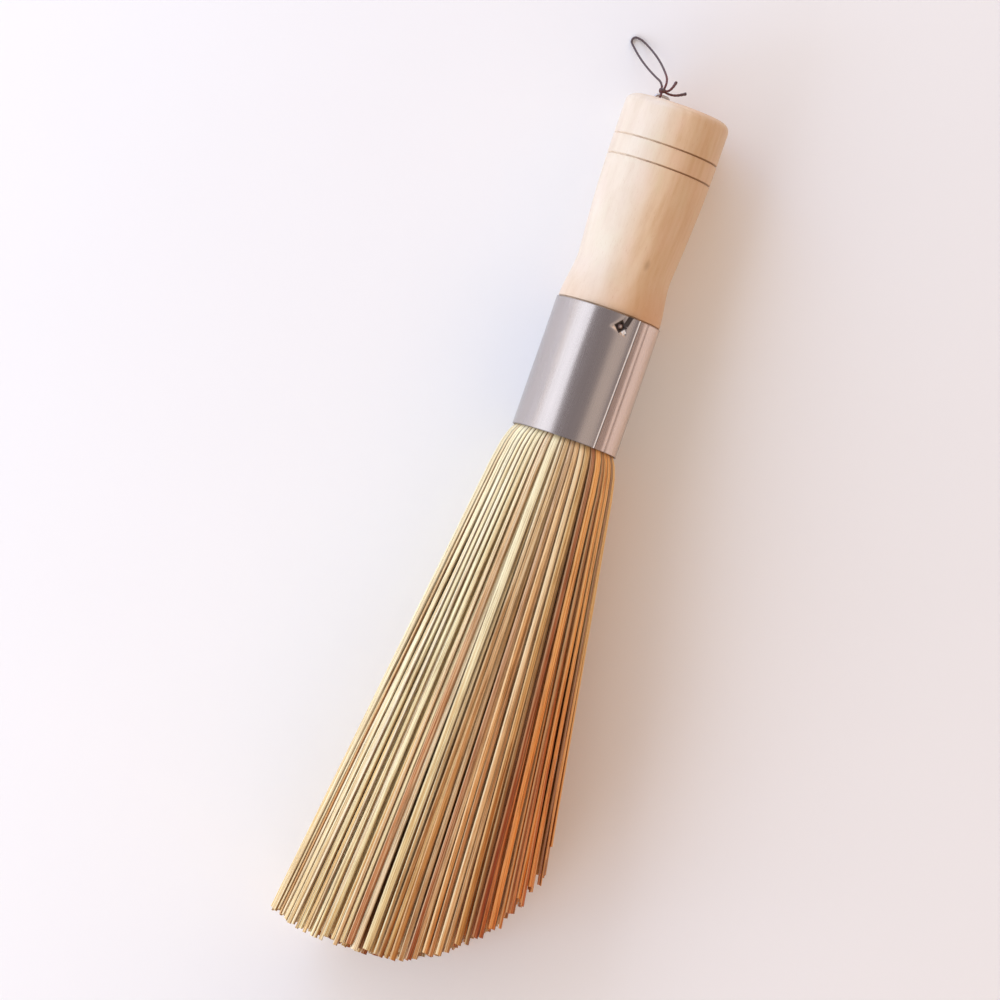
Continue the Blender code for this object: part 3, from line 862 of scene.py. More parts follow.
@dataclass
class Strand:
    """A wire or string that is drawn along a route.

    Attributes:
        route: the places that its middle passes.
        radius: radius over its plies.
        sides: sides of its section.
        lobes: how many plies show, or none for plain wire.
        furrow: depth of the furrow between the plies, as a share of the radius.
        lay_length: length of one full twist of the plies.
        start: way along the string at its first place.
        fray: how much thicker its loosened last end is, as a share of the radius.
        fray_furrow: how much deeper the furrow is there, as a share of the thickening.
    """

    route: list[Vector]
    radius: float
    sides: int = 12
    lobes: int = 0
    furrow: float = 0.0
    lay_length: float = 0.0022
    start: float = 0.0
    fray: float = 0.0
    fray_furrow: float = 0.45

    def frames(self) -> list[tuple[Vector, Vector, Vector, float]]:
        """Places along the strand, each with its two cross directions and the way along."""
        found = []
        side = None
        along = self.start
        for index, place in enumerate(self.route):
            before = self.route[max(0, index - 1)]
            after = self.route[min(len(self.route) - 1, index + 1)]
            ahead = (after - before).normalized()
            if side is None:
                side = ahead.orthogonal().normalized()
            side = (side - ahead * side.dot(ahead)).normalized()
            along += (place - before).length
            found.append((place, side.copy(), ahead.cross(side), along))
        return found

    def draw(self, bm: bmesh.types.BMesh) -> None:
        """Adds the strand to a bmesh, closed at both ends.

        Args:
            bm: the bmesh that it is added to.
        """
        layers = bm.verts.layers
        corner_layer, place_layer, ply_layer = (
            kind.get(name) or kind.new(name) for kind, name in (
                (layers.int, "corner"), (layers.float_vector, "string_place"),
                (layers.float, "string_ply"),
            )
        )
        ring = bmesh.ops.create_circle(
            bm, cap_ends=True, segments=self.sides, radius=self.radius,
        )["verts"]
        for number, corner in enumerate(ring):
            corner[corner_layer] = number
        face = ring[0].link_faces[0]
        for index, (place, side, other, along) in enumerate(self.frames()):
            if index:
                face = bmesh.ops.extrude_discrete_faces(bm, faces=[face])["faces"][0]
            for corner in face.verts:
                turn = 2 * math.pi * corner[corner_layer] / self.sides
                ply = 1.0
                if self.lobes:
                    twist = turn - 2 * math.pi * along / self.lay_length
                    ply = abs(math.cos(twist * self.lobes / 2))
                loose = (index / (len(self.route) - 1)) ** 2 * self.fray
                furrow = self.furrow + loose * self.fray_furrow
                radius = self.radius * (1 + loose) * (1 - furrow * (1 - ply))
                corner.co = place + (side * math.cos(turn) + other * math.sin(turn)) * radius
                corner[place_layer] = (along, math.cos(turn), math.sin(turn))
                corner[ply_layer] = ply


CURVE_STEPS = 24


def smooth_route(points: list[tuple[float, float, float]], spacing: float) -> list[Vector]:
    """Evenly spaced places along a smooth curve.

    Args:
        points: the points that the curve passes.
        spacing: distance between the places.

    Returns:
        The places.
    """
    places = [Vector(point) for point in points]
    padded = [2 * places[0] - places[1], *places, 2 * places[-1] - places[-2]]
    fine = [places[0]]
    for before, start, end, after in zip(padded, padded[1:], padded[2:], padded[3:]):
        leave, arrive = start + (end - before) / 6, end - (after - start) / 6
        fine += interpolate_bezier(start, leave, arrive, end, CURVE_STEPS)[1:]
    lengths = [0.0]
    for start, end in zip(fine, fine[1:]):
        lengths.append(lengths[-1] + (end - start).length)
    count = max(2, round(lengths[-1] / spacing))
    even, at = [], 0
    for step in range(count + 1):
        target = lengths[-1] * step / count
        while at < len(fine) - 2 and lengths[at + 1] < target:
            at += 1
        share = (target - lengths[at]) / (lengths[at + 1] - lengths[at])
        even.append(fine[at].lerp(fine[at + 1], share))
    return even


# Camera, lights and table

@dataclass(frozen=True)
class Panel:
    """A soft light panel beside the brush, long way along it.

    Attributes:
        name: the lamp's name.
        roll: degrees from straight up, towards the brush's left where positive.
        slide: degrees towards the handle's end, from the plane across the brush.
        distance: from the brush to its middle.
        length: size along the brush.
        height: size across.
        power: watts.
        colour: the light's colour.
    """

    name: str
    roll: float
    slide: float
    distance: float
    length: float
    height: float
    power: float
    colour: tuple[float, float, float]

    def place(self, target: Vector) -> bpy.types.Object:
        """Puts the lamp in the scene.

        Args:
            target: the point that it faces.

        Returns:
            The lamp.
        """
        lamp = bpy.data.lights.new(self.name, "AREA")
        lamp.shape = "RECTANGLE"
        lamp.size = self.length
        lamp.size_y = self.height
        lamp.energy = self.power
        lamp.color = self.colour
        roll, slide = math.radians(self.roll), math.radians(self.slide)
        away = Vector((
            math.sin(slide),
            math.cos(slide) * math.sin(roll),
            math.cos(slide) * math.cos(roll),
        ))
        along = (Vector((1, 0, 0)) - away * away.x).normalized()
        turn = Matrix((along, away.cross(along), away)).transposed().to_4x4()
        made = put_in_scene(self.name, lamp)
        made.matrix_world = Matrix.Translation(target + away * self.distance) @ turn
        return made


@dataclass
class Studio:
    """The pale table, the soft light and the camera that looks straight down."""

    look_at: tuple[float, float, float] = (0.0063, 0.0123, 0.0230)
    camera_distance: float = 2.4
    field_width: float = 0.2977
    roll: float = math.radians(-70.8)
    table_size: float = 8.0
    world_colour: Shade = (0.335, 0.285, 0.282, 1.0)
    panels: tuple[Panel, ...] = (
        Panel("key_panel", 56, 0.0, 0.9, 1.1, 0.80, 3.8, (0.94, 0.97, 1.03)),
        Panel("key_upper", 60, 50, 1.2, 1.0, 0.8, 5.0, (0.72, 1.0, 1.60)),
        Panel("key_lower", 60, -50, 1.2, 1.0, 0.8, 6.6, (0.82, 1.0, 1.38)),
        Panel("left_skirt", 85, 0.0, 0.9, 1.1, 0.14, 0.5, (1.0, 0.95, 0.93)),
        Panel("fill_panel", -42, 0.0, 1.0, 1.2, 0.60, 1.0, (1.0, 0.82, 0.66)),
        Panel("fill_upper", -62, 50, 1.2, 1.0, 0.8, 1.8, (1.0, 0.52, 0.18)),
        Panel("fill_lower", -62, -50, 1.2, 1.0, 0.8, 2.6, (1.0, 0.56, 0.20)),
        Panel("upper_panel", 0.0, 52, 1.2, 0.6, 1.2, 2.2, (1.0, 0.94, 0.84)),
        Panel("lower_panel", 0.0, -52, 1.2, 0.6, 1.2, 2.2, (1.0, 0.94, 0.84)),
    )

    def target(self) -> Vector:
        """The point in the middle of the picture."""
        return Vector(self.look_at)

    def add_camera(self) -> None:
        """Puts the camera above the brush, turned as in the photograph."""
        lens = bpy.data.cameras.new("camera")
        lens.lens = lens.sensor_width * self.camera_distance / self.field_width
        lens.clip_start, lens.clip_end = 0.01, 20.0
        camera = put_in_scene("camera", lens)
        camera.location = self.target() + Vector((0, 0, self.camera_distance))
        camera.rotation_euler = (0, 0, self.roll)
        bpy.context.scene.camera = camera

    def add_lights(self) -> None:
        """Puts the panels round the brush and lights the room softly."""
        for panel in self.panels:
            panel.place(self.target())
            LOG.info("%s: %.1f W", panel.name, panel.power)
        world = bpy.data.worlds.new("room")
        world.use_nodes = True
        world.node_tree.nodes["Background"].inputs["Color"].default_value = self.world_colour
        bpy.context.scene.world = world
        bpy.context.scene.view_settings.view_transform = "Standard"

    def add_table(self) -> None:
        """Lays the table under the brush."""
        bm = bmesh.new()
        bmesh.ops.create_grid(bm, x_segments=4, y_segments=4, size=self.table_size / 2)
        bmesh.ops.translate(bm, verts=bm.verts, vec=(0, 0, -TABLE_CLEARANCE))
        mesh = meshed(bm, "table")
        mesh.materials.append(TableTop().material())
        table = put_in_scene("table", mesh)

    def build(self) -> None:
        """Makes all of it."""
        self.add_camera()
        self.add_lights()
        self.add_table()


# Hanging cord and staple

@dataclass
class HangingCord:
    """One waxed string, tied to the staple, with its loop lying on the table."""

    diameter: float = 0.0007
    spacing: float = 0.00032
    loop_length: float = 0.0510
    tie_offset: float = 0.0007
    tie_steps: int = 26
    tie_drift: float = 0.28
    knot_length: float = 0.0017
    wrap_turns: float = 2.5
    wrap_radius: float = 0.00062
    wrap_steps: int = 44
    wrap_flatness: float = 1.2
    wrap_taper: float = 0.25
    fray: float = 0.55

    # The loop's route, as offsets from the middle of the knot: out, to the left and up
    LOOP = [
        (0.0012, -0.0005, 0.0000), (0.0026, -0.0005, -0.0004), (0.0041, -0.0001, -0.0017),
        (0.0056, 0.0009, -0.0041), (0.0075, 0.0025, -0.0074), (0.0095, 0.0046, -0.0112),
        (0.0113, 0.0071, -0.0139), (0.0126, 0.0094, -0.0152), (0.0133, 0.0114, -0.0154),
        (0.0132, 0.0130, -0.0154), (0.0118, 0.0135, -0.0154), (0.0102, 0.0121, -0.0148),
        (0.0084, 0.0102, -0.0131), (0.0065, 0.0079, -0.0099), (0.0048, 0.0055, -0.0062),
        (0.0034, 0.0032, -0.0027), (0.0024, 0.0014, -0.0007), (0.0012, 0.0005, 0.0000),
    ]
    FIRST_TAIL = [
        (0.0000, 0.0000, 0.0000), (0.0005, -0.0018, 0.0001),
        (0.0020, -0.0027, -0.0003), (0.0039, -0.0032, -0.0011),
    ]
    SECOND_TAIL = [
        (0.0000, 0.0000, 0.0000), (-0.0003, -0.0022, -0.0006),
        (0.0001, -0.0045, -0.0010), (0.0016, -0.0071, -0.0019),
    ]

    # The loop's two ends inside the knot, which part to either side
    NECK = [(-0.0006, 0.0002, 0.0), (0.0003, 0.0003, 0.0001), (0.0013, 0.0005, 0.0)]

    # Way along the string where the wraps and the cut ends start, which their colour follows
    WRAP_START = 0.002
    TAIL_START = 0.001

    def tie_place(self) -> Vector:
        """Middle of the staple's bow where the string is tied round it."""
        return Vector((
            -SIZES.staple_offset - self.tie_offset, 0, SIZES.handle_end + SIZES.staple_height,
        ))

    def knot_place(self) -> Vector:
        """Middle of the knot on the lying brush."""
        rise = SIZES.staple_wire_radius + SIZES.gap + self.knot_length / 2
        return LYING @ (self.tie_place() + Vector((0, 0, rise)))

    def lying_offset(self, offset: Vector) -> Vector:
        """An offset out, left and up, turned with the leaning handle as the knot is."""
        return LYING.to_3x3() @ Vector((-offset.y, -offset.z, offset.x))

    def strand(self, route: list[Vector], start: float = 0.0) -> Strand:
        """A length of the string along a route."""
        return Strand(route, self.diameter / 2, 12, 2, 0.16, start=start)

    def build_loop(self, finish: bpy.types.Material, knot: bpy.types.Object) -> bpy.types.Object:
        """Draws the loop.

        Args:
            finish: the string's material.
            knot: the knot that both its ends go into; it is not used.

        Returns:
            The loop.
        """
        middle = self.knot_place()
        route = [middle + offset for offset in smooth_route(self.LOOP, self.spacing)]
        bm = bmesh.new()
        self.strand(route).draw(bm)
        loop = add_piece(
            bm, "hanging_cord_loop", finish, ["hanging_cord"], sharp=60, lying=True,
        )
        return loop

    def tie_route(self) -> list[Vector]:
        """The route of the turn round the staple, which drifts a little along it."""
        tie = self.tie_place()
        ring = SIZES.staple_wire_radius + self.diameter / 2
        route = []
        for step in range(self.tie_steps + 1):
            share = step / self.tie_steps
            angle = 2 * math.pi * share
            drift = ring * Vector((self.tie_drift * (share - 0.5), 0, 0))
            across = ring * Vector((0, math.sin(angle), math.cos(angle)))
            route.append(LYING @ (tie + drift + across))
        return route

    def wrap_route(self) -> list[Vector]:
        """The route of the wraps of the knot, as offsets out, left and up from its middle."""
        route = []
        for step in range(self.wrap_steps + 1):
            share = step / self.wrap_steps
            angle = 2 * math.pi * self.wrap_turns * share
            radius = self.wrap_radius * (1 - self.wrap_taper * abs(2 * share - 1))
            route.append(Vector((
                (share - 0.5) * (self.knot_length - self.diameter),
                radius * self.wrap_flatness * math.cos(angle),
                radius * math.sin(angle),
            )))
        return route

    def build_knot(self, finish: bpy.types.Material) -> bpy.types.Object:
        """Draws the turn round the staple, the wraps of the knot and the two cut ends.

        Args:
            finish: the string's material.

        Returns:
            The knot.
        """
        bm = bmesh.new()
        middle = self.knot_place()
        self.strand(self.tie_route()).draw(bm)
        wraps = [middle + self.lying_offset(offset) for offset in self.wrap_route()]
        self.strand(wraps, self.WRAP_START).draw(bm)
        for side in (-1, 1):
            neck = [(out, left * side, up) for out, left, up in self.NECK]
            self.strand([middle + offset for offset in smooth_route(neck, self.spacing)]).draw(bm)
        for tail in (self.FIRST_TAIL, self.SECOND_TAIL):
            route = [
                middle + self.lying_offset(offset) for offset in smooth_route(tail, self.spacing)
            ]
            string = self.strand(route, self.TAIL_START)
            string.fray = self.fray
            string.draw(bm)
        return add_piece(
            bm, "hanging_cord_knot", finish, ["cord_knot"], sharp=60, lying=True,
        )

    def build(self) -> None:
        """Makes the knot and the loop."""
        finish = WaxedString().material()
        self.build_loop(finish, self.build_knot(finish))


@dataclass
class Staple:
    """A bow of wire across the handle's end, with both legs driven into it."""

    width: float = 0.0042
    leg_depth: float = 0.007
    bend_share: float = 0.5
    bend_steps: int = 10
    wire_sides: int = 16

    def build(self, finish: bpy.types.Material) -> None:
        """Draws the wire.

        Args:
            finish: its material.
        """
        half = self.width / 2
        bend = half * self.bend_share
        top = SIZES.handle_end + SIZES.staple_height
        route = [
            Vector((-half, 0, SIZES.handle_end - self.leg_depth * share)) for share in (1, 0.5, 0)
        ]
        for step in range(self.bend_steps + 1):
            turn = math.pi / 2 * step / self.bend_steps
            inset, drop = bend * (1 - math.cos(turn)), bend * (1 - math.sin(turn))
            route.append(Vector((-half + inset, 0, top - drop)))
        route += [Vector((-place.x, 0, place.z)) for place in reversed(route)]
        route = [place - Vector((SIZES.staple_offset, 0, 0)) for place in route]
        bm = bmesh.new()
        Strand(route, SIZES.staple_wire_radius, self.wire_sides).draw(bm)
        add_piece(bm, "staple_wire", finish, ["cord_staple"], sharp=50)


# Handle

@dataclass
class Handle:
    """The turned handle, with its waist, its two lines and its spigot."""

    widest_from_end: float = 0.0131
    waist_radius: float = 0.01445
    waist_height: float = 0.0146
    shoulder_radius: float = 0.0159
    shoulder_rounding: float = 0.0004
    end_rounding: float = 0.0028
    end_hollow: float = 0.00015
    groove_depth: float = 0.0004
    groove_shares: tuple[float, ...] = (-0.5, -0.3, -0.15, 0.0, 0.15, 0.3, 0.5)
    groove_sharpness: float = 1.5
    hollow_shares: tuple[float, float] = (0.6, 0.08)
    shoulder_steps: int = 5
    end_steps: int = 12
    spigot_chamfer: float = 0.0008
    height_steps: int = 72
    sides: int = 144

    def radius_at(self, height: float) -> float:
        """Radius of the grip.

        Args:
            height: height above the ferrule.

        Returns:
            The radius without roundings and lines.
        """
        if height < self.waist_height:
            swell = (1 + math.cos(math.pi * height / self.waist_height)) / 2
            return self.waist_radius + (self.shoulder_radius - self.waist_radius) * swell
        widest = SIZES.handle_length - self.widest_from_end
        rise = min(1.0, (height - self.waist_height) / (widest - self.waist_height))
        swell = math.sin(math.pi / 2 * rise)
        return self.waist_radius + (SIZES.handle_radius - self.waist_radius) * swell

    def outline(self) -> Outline:
        """The turned outline, from the bottom of the spigot to the handle's end."""
        base = SIZES.ferrule_length
        spigot = SIZES.root_radius
        points = [
            (0, SIZES.spigot_bottom),
            (spigot - self.spigot_chamfer, SIZES.spigot_bottom),
            (spigot, SIZES.spigot_bottom + self.spigot_chamfer),
            (spigot, base + SIZES.gap),
        ]
        low = SIZES.gap + self.shoulder_rounding
        points += corner_arc(
            self.radius_at(low), base + SIZES.gap, self.shoulder_rounding, self.shoulder_steps,
            top=False,
        )
        high = SIZES.handle_length - self.end_rounding
        width = SIZES.groove_width
        grooves = [height - base for height in SIZES.groove_heights]
        grip = []
        for step in range(1, self.height_steps):
            height = low + (high - low) * step / self.height_steps
            if all(abs(height - groove) > width * 0.6 for groove in grooves):
                grip.append((self.radius_at(height), height))
        for groove in grooves:
            for share in self.groove_shares:
                cut = self.groove_depth * math.cos(math.pi * share) ** self.groove_sharpness
                grip.append((self.radius_at(groove) - cut, groove + width * share))
        grip.sort(key=lambda point: point[1])
        points += [(radius, base + height) for radius, height in grip]
        points += corner_arc(
            SIZES.handle_radius, base + high, self.end_rounding, self.end_steps, top=True,
        )
        face = SIZES.handle_radius - self.end_rounding
        rim, middle = self.hollow_shares
        points += [
            (face * rim, SIZES.handle_end - self.end_hollow * 0.6),
            (face * middle, SIZES.handle_end - self.end_hollow),
            (0, SIZES.handle_end - self.end_hollow * 2),
        ]
        return points

    def build(self) -> None:
        """Turns the handle."""
        bm = turned(self.outline(), self.sides)
        add_piece(bm, "handle_turned", TurnedWood().material(), ["handle"])


# Ferrule and tacks

@dataclass
class Ferrule:
    """One sheet rolled round, with its outer end lapped, pressed in round the front tack."""

    lap_angle: float = math.radians(50)
    ramp_angle: float = math.radians(35)
    lip_height: float = 0.00016
    lip_angle: float = math.radians(1.2)
    lip_curl: float = 1.3
    lip_cuts: int = 5
    crease_angle: float = math.radians(48)
    crease_width: float = math.radians(3.2)
    crease_depth: float = 0.00016
    step_angle: float = math.radians(2)
    rows: int = 24
    hollow_depth: float = 0.00060
    hollow_reach: float = 0.0030
    hollow_turn: float = math.radians(14)
    hollow_size: float = 0.72
    hollow_floor: float = 0.25
    under_share: float = 0.7
    fine_reaches: tuple[float, float] = (1.9, 1.25)
    fold_across: float = 0.0011
    fold_lean: float = 0.22
    fold_width: float = 0.0006
    fold_depth: float = 0.00036
    fold_start: tuple[float, float] = (0.0004, 0.0014)
    hole_half_width: float = 0.0014
    hole_half_height: float = 0.0016
    dent: float = 0.00004
    dent_waves: tuple[tuple[float, float, float], ...] = ((3, 150, 0.0), (7, -110, 1.3))
    flap_across: float = 0.0013
    flap_rise: float = -0.0011
    flap_width: float = 0.00042
    flap_height: float = 0.00034
    flap_squash: float = 0.7

    def edge_at(self, height: float) -> float:
        """Angle of the free edge of the lap, which runs a little askew."""
        return SIZES.lap_edge_angle + SIZES.lap_edge_slant * (height / SIZES.ferrule_length - 0.5)

    def beside_tack(self, turn: float, height: float, radius: float) -> tuple[float, float]:
        """How far a place on the sheet is to the right of the front tack and above it.

        Args:
            turn: angle along the rolled sheet.
            height: height above the mouth.
            radius: the radius that the first distance is measured at.

        Returns:
            The two distances.
        """
        off = wrapped(self.edge_at(height) - turn - SIZES.tack_angle)
        return off * radius, height - SIZES.tack_height

    def hollow(self, across: float, rise: float) -> float:
        """Depth of the three-cornered hollow at a place to the right of the tack and above it."""
        angles = [math.radians(turn) - self.hollow_turn for turn in (-90, 30, 150)]
        off = max(across * math.cos(angle) + rise * math.sin(angle) for angle in angles)
        edge = off / (self.hollow_reach * self.hollow_size)
        return self.hollow_depth * (1 - smooth_step(edge, self.hollow_floor, 1.0))

    def fold(self, across: float, rise: float) -> float:
        """Depth of the fold from the hollow to the rim, at a place beside the tack."""
        line = (across - self.fold_across - rise * self.fold_lean) / self.fold_width
        return self.fold_depth * math.exp(-line * line) * smooth_step(rise, *self.fold_start)

    def flap(self, across: float, rise: float) -> float:
        """Height of the torn tongue of metal, at a place beside the tack."""
        off = math.hypot(across - self.flap_across, (rise - self.flap_rise) * self.flap_squash)
        return self.flap_height * math.exp(-(off / self.flap_width) ** 2)

    def radius_at(self, turn: float, height: float) -> float:
        """Radius of the inner face of the sheet.

        Args:
            turn: angle along the rolled sheet, from its lap edge back round to its inner end.
            height: height above the mouth.

        Returns:
            The radius.
        """
        lapped = 1 - smooth_step(turn, self.lap_angle, self.lap_angle + self.ramp_angle)
        radius = SIZES.bore_radius + (SIZES.ferrule_wall + SIZES.lap_gap) * lapped
        if turn < self.lip_angle:
            radius += self.lip_height * (1 - turn / self.lip_angle) ** self.lip_curl
        angle = self.edge_at(height) - turn
        off = wrapped(angle - self.crease_angle)
        radius -= self.crease_depth * math.exp(-(off / (self.crease_width / 2)) ** 2)
        wave = sum(math.sin(angle * round_waves + height * rising + start)
                   for round_waves, rising, start in self.dent_waves)
        radius += self.dent * 0.5 * wave
        across, rise = self.beside_tack(turn, height, SIZES.sheet_face)
        if abs(across) < self.hollow_reach * 2:
            pressed = self.hollow(across, rise) + self.fold(across, rise)
            if turn < math.pi:
                radius -= pressed - self.flap(across, rise)
            else:
                radius -= pressed * self.under_share
        return radius

    def is_near_tack(self, turn: float, height: float, reach: float) -> bool:
        """Whether a place on either layer of the lap is nearer to the front tack than a reach."""
        across, rise = self.beside_tack(turn, height, SIZES.bore_radius)
        return abs(across) < reach and abs(rise) < reach

    def is_pierced(self, turn: float, height: float) -> bool:
        """Whether the tack's torn hole takes a place out of the sheet."""
        across, rise = self.beside_tack(turn, height, SIZES.bore_radius)
        return abs(across) / self.hole_half_width + abs(rise) / self.hole_half_height < 1

    def build(self) -> None:
        """Rolls the sheet."""
        length = 2 * math.pi + self.lap_angle
        columns = round(length / self.step_angle)
        bm = bmesh.new()
        bmesh.ops.create_grid(bm, x_segments=columns, y_segments=self.rows, size=0.5)
        bmesh.ops.translate(bm, verts=bm.verts, vec=(0.5, 0.5, 0))
        bmesh.ops.scale(bm, verts=bm.verts, vec=(length, SIZES.ferrule_length, 1))
        for share in self.fine_reaches:
            reach = self.hollow_reach * share
            near = [
                edge for edge in bm.edges
                if all(self.is_near_tack(corner.co.x, corner.co.y, reach) for corner in edge.verts)
            ]
            bmesh.ops.subdivide_edges(bm, edges=near, cuts=1, use_grid_fill=True)
        lip = [
            edge for edge in bm.edges
            if max(corner.co.x for corner in edge.verts) < self.step_angle * 1.01
            and abs(edge.verts[0].co.y - edge.verts[1].co.y) < 0.000001
        ]
        bmesh.ops.subdivide_edges(bm, edges=lip, cuts=self.lip_cuts)
        gone = [
            face for face in bm.faces
            if self.is_pierced(face.calc_center_median().x, face.calc_center_median().y)
        ]
        bmesh.ops.delete(bm, geom=gone, context="FACES")
        for corner in bm.verts:
            turn, height = corner.co.x, corner.co.y
            corner.co = around(self.edge_at(height) - turn, self.radius_at(turn, height), height)
        bmesh.ops.recalc_face_normals(bm, faces=bm.faces)
        outwards = sum(
            face.normal.dot(Vector((*face.calc_center_median().xy, 0))) for face in bm.faces
        )
        if outwards > 0:
            bmesh.ops.reverse_faces(bm, faces=bm.faces)
        bmesh.ops.solidify(bm, geom=bm.faces[:], thickness=SIZES.ferrule_wall)
        bmesh.ops.recalc_face_normals(bm, faces=bm.faces)
        finish = RolledSteel().material()
        add_piece(bm, "ferrule_sheet", finish, ["ferrule"], sharp=42)


@dataclass
class Tack:
    """A small tack with a domed, hammered head.

    Attributes:
        name: the piece's name.
        node: the solid that it stands for.
        angle: where it is round the ferrule.
        seat: distance from the axis to the underside of its head.
    """

    name: str
    node: str
    angle: float
    seat: float
    head_radius: float = 0.0008
    head_height: float = 0.0005
    shank_radius: float = 0.0006
    shank_length: float = 0.0065
    point_length: float = 0.0015
    underside_share: float = 0.94
    rim_share: float = 0.25
    dome_steps: int = 7
    sides: int = 28

    def build(self, finish: bpy.types.Material) -> None:
        """Turns the tack and sets it in the ferrule.

        Args:
            finish: its material.
        """
        outline = [
            (0, -self.shank_length),
            (self.shank_radius, -self.shank_length + self.point_length),
            (self.shank_radius, 0),
            (self.head_radius * self.underside_share, 0),
        ]
        for step in range(self.dome_steps):
            turn = math.pi / 2 * step / self.dome_steps
            height = self.head_height * (self.rim_share + (1 - self.rim_share) * math.sin(turn))
            outline.append((self.head_radius * math.cos(turn), height))
        outline.append((0, self.head_height))
        bm = turned(outline, self.sides)
        outward = around(self.angle, 1, 0).to_track_quat("Z", "Y").to_matrix().to_4x4()
        place = Matrix.Translation(around(self.angle, self.seat, SIZES.tack_height))
        bmesh.ops.transform(bm, matrix=place @ outward, verts=bm.verts)
        add_piece(bm, self.name, finish, [self.node])


@dataclass
class Wedge:
    """The peg in the middle of the bundle."""

    proud: float = 0.005
    point_radius: float = 0.0012
    point_length: float = 0.006
    edge: float = 0.0004
    sides: int = 40

    def build(self) -> None:
        """Turns the peg."""
        outline = [
            (0, -self.proud),
            (SIZES.wedge_radius - self.edge, -self.proud),
            (SIZES.wedge_radius, -self.proud + self.edge),
            (SIZES.wedge_radius, SIZES.root_top - self.point_length),
            (self.point_radius, SIZES.root_top),
            (0, SIZES.root_top),
        ]
        bm = turned(outline, self.sides)
        add_piece(bm, "wedge_peg", WedgeWood().material(), ["centre_wedge"])


# Bamboo strips

class Tint(Enum):
    """Tones of split bamboo, from fresh to smoked."""

    PALE = shade(255, 247, 216)
    STRAW = shade(252, 239, 192)
    KHAKI = shade(240, 228, 172)
    TAN = shade(244, 206, 126)
    BLUSH = shade(246, 212, 164)
    AMBER = shade(242, 168, 74)
    BROWN = shade(228, 118, 38)
    DARK = shade(140, 80, 34)


@dataclass(frozen=True)
class Dye:
    """How strip tones change from left to right and inwards, partly as painted light and shade."""

    left_weights: tuple[float, ...] = (4.4, 5.0, 2.4, 1.4, 0.8, 0.1, 0.1, 0.0)
    right_weights: tuple[float, ...] = (0.2, 0.3, 0.0, 2.6, 0.8, 3.8, 5.4, 0.8)
    right_reach: tuple[float, float] = (-0.55, 0.85)
    inner_shade_tones: float = 0.35
    fresh_tints: int = 3
    variety: float = 0.68
    brown_from: tuple[float, float] = (0.25, 0.45)
    brown_loss: tuple[float, float, float] = (0.32, 0.38, 0.62)
    mixed_reach: tuple[float, float] = (-0.45, 0.45)
    dimmest: tuple[float, float] = (0.88, 0.40)
    brightest: tuple[float, float] = (1.12, 0.48)
    lit_paling: float = 1.3
    light_limit: float = 1.16
    shade_inside: tuple[float, float] = (0.12, 0.52)
    powers: tuple[float, float, float] = (0.85, 1.1, 1.4)
    lit_left_reach: tuple[float, float] = (0.0, 0.6)

    def base_tone(self, right: float, depth: float, chance: random.Random) -> list[float]:
        """A tone drawn from the tints, drawn in towards their usual mix.

        Args:
            right: how far it is to the right, from 0 to 1.
            depth: how deep it lies, from 0 at the outside to 1.
            chance: source of the choice.

        Returns:
            Its red, green and blue.
        """
        weights = []
        for index, (first, last) in enumerate(zip(self.left_weights, self.right_weights)):
            weight = first * (1 - right) + last * right
            # Deeper strips draw darker tints, as painted shade.
            inner_shade_weight = 1 + self.inner_shade_tones * depth * (index - self.fresh_tints)
            weights.append(max(0.0, weight * inner_shade_weight))
        tints = [tint.value for tint in Tint]
        picked = chance.choices(tints, weights=weights)[0]
        typical = [
            sum(weight * tint[part] for weight, tint in zip(weights, tints)) / sum(weights)
            for part in range(3)
        ]
        return [mean + (own - mean) * self.variety for mean, own in zip(typical, picked)]

    def pick(self, share_x: float, depth: float, chance: random.Random) -> Shade:
        """A strip's tone: paler on the lit left, browner on the shaded right, painted darker
        inside.

        Args:
            share_x: its place from the left to the right.
            depth: how deep it lies, from 0 at the outside to 1.
            chance: source of the choice.

        Returns:
            The tone, lighter or darker by chance, with its share of the lit left side as alpha.
        """
        # Browner to the right: partly tone, partly painted shade of the side away from the light.
        right = smooth_step(share_x, *self.right_reach)
        tone = self.base_tone(right, depth, chance)
        browned = smooth_step(tone[0] - tone[1], *self.brown_from) * (1 - right)
        tone = [value * (1 - loss * browned) for value, loss in zip(tone, self.brown_loss)]
        # Random brightness per strip, wider to the right; partly painted light and shade.
        mixed = smooth_step(share_x, *self.mixed_reach)
        light = chance.uniform(
            self.dimmest[0] - self.dimmest[1] * mixed,
            self.brightest[0] + self.brightest[1] * mixed,
        )
        lit_paled = self.lit_paling * max(0.0, light - 1)
        tone = [
            value + (fresh + (old - fresh) * right - value) * lit_paled
            for value, fresh, old in zip(tone, Tint.PALE.value, Tint.AMBER.value)
        ]
        shaded = (self.shade_inside[0] + self.shade_inside[1] * mixed) * depth
        light = min(light, self.light_limit) * (1 - shaded)
        # Dimmer strips turn redder, as painted shade between the strips.
        tone = [
            min(palest, value * light ** power)
            for value, palest, power in zip(tone, Tint.PALE.value, self.powers)
        ]
        return (*tone, 1 - smooth_step(share_x, *self.lit_left_reach))


@dataclass
class Strip:
    """One split strip of bamboo.

    Attributes:
        share: its place in the bore, as shares of the root radius.
        length: how far it reaches below the mouth.
        width: width where it leaves the ferrule.
        thickness: thickness.
        growth: how much wider it is at its tip.
        stray_out: how far its tip strays away from the axis.
        stray_across: how far its tip strays sideways.
        bow: how far its middle bows sideways.
        twist: how far its tip is turned about its own length.
        rise: how far it rises between its neighbours, as a share of its distance from the axis.
        slant: how far one corner of its cut end is lower than the other.
        tint: its tone.
        number: its number in the bundle.
    """

    share: Vector
    length: float
    width: float
    thickness: float
    growth: float
    stray_out: float
    stray_across: float
    bow: float
    twist: float
    rise: float
    slant: float
    tint: Shade
    number: int


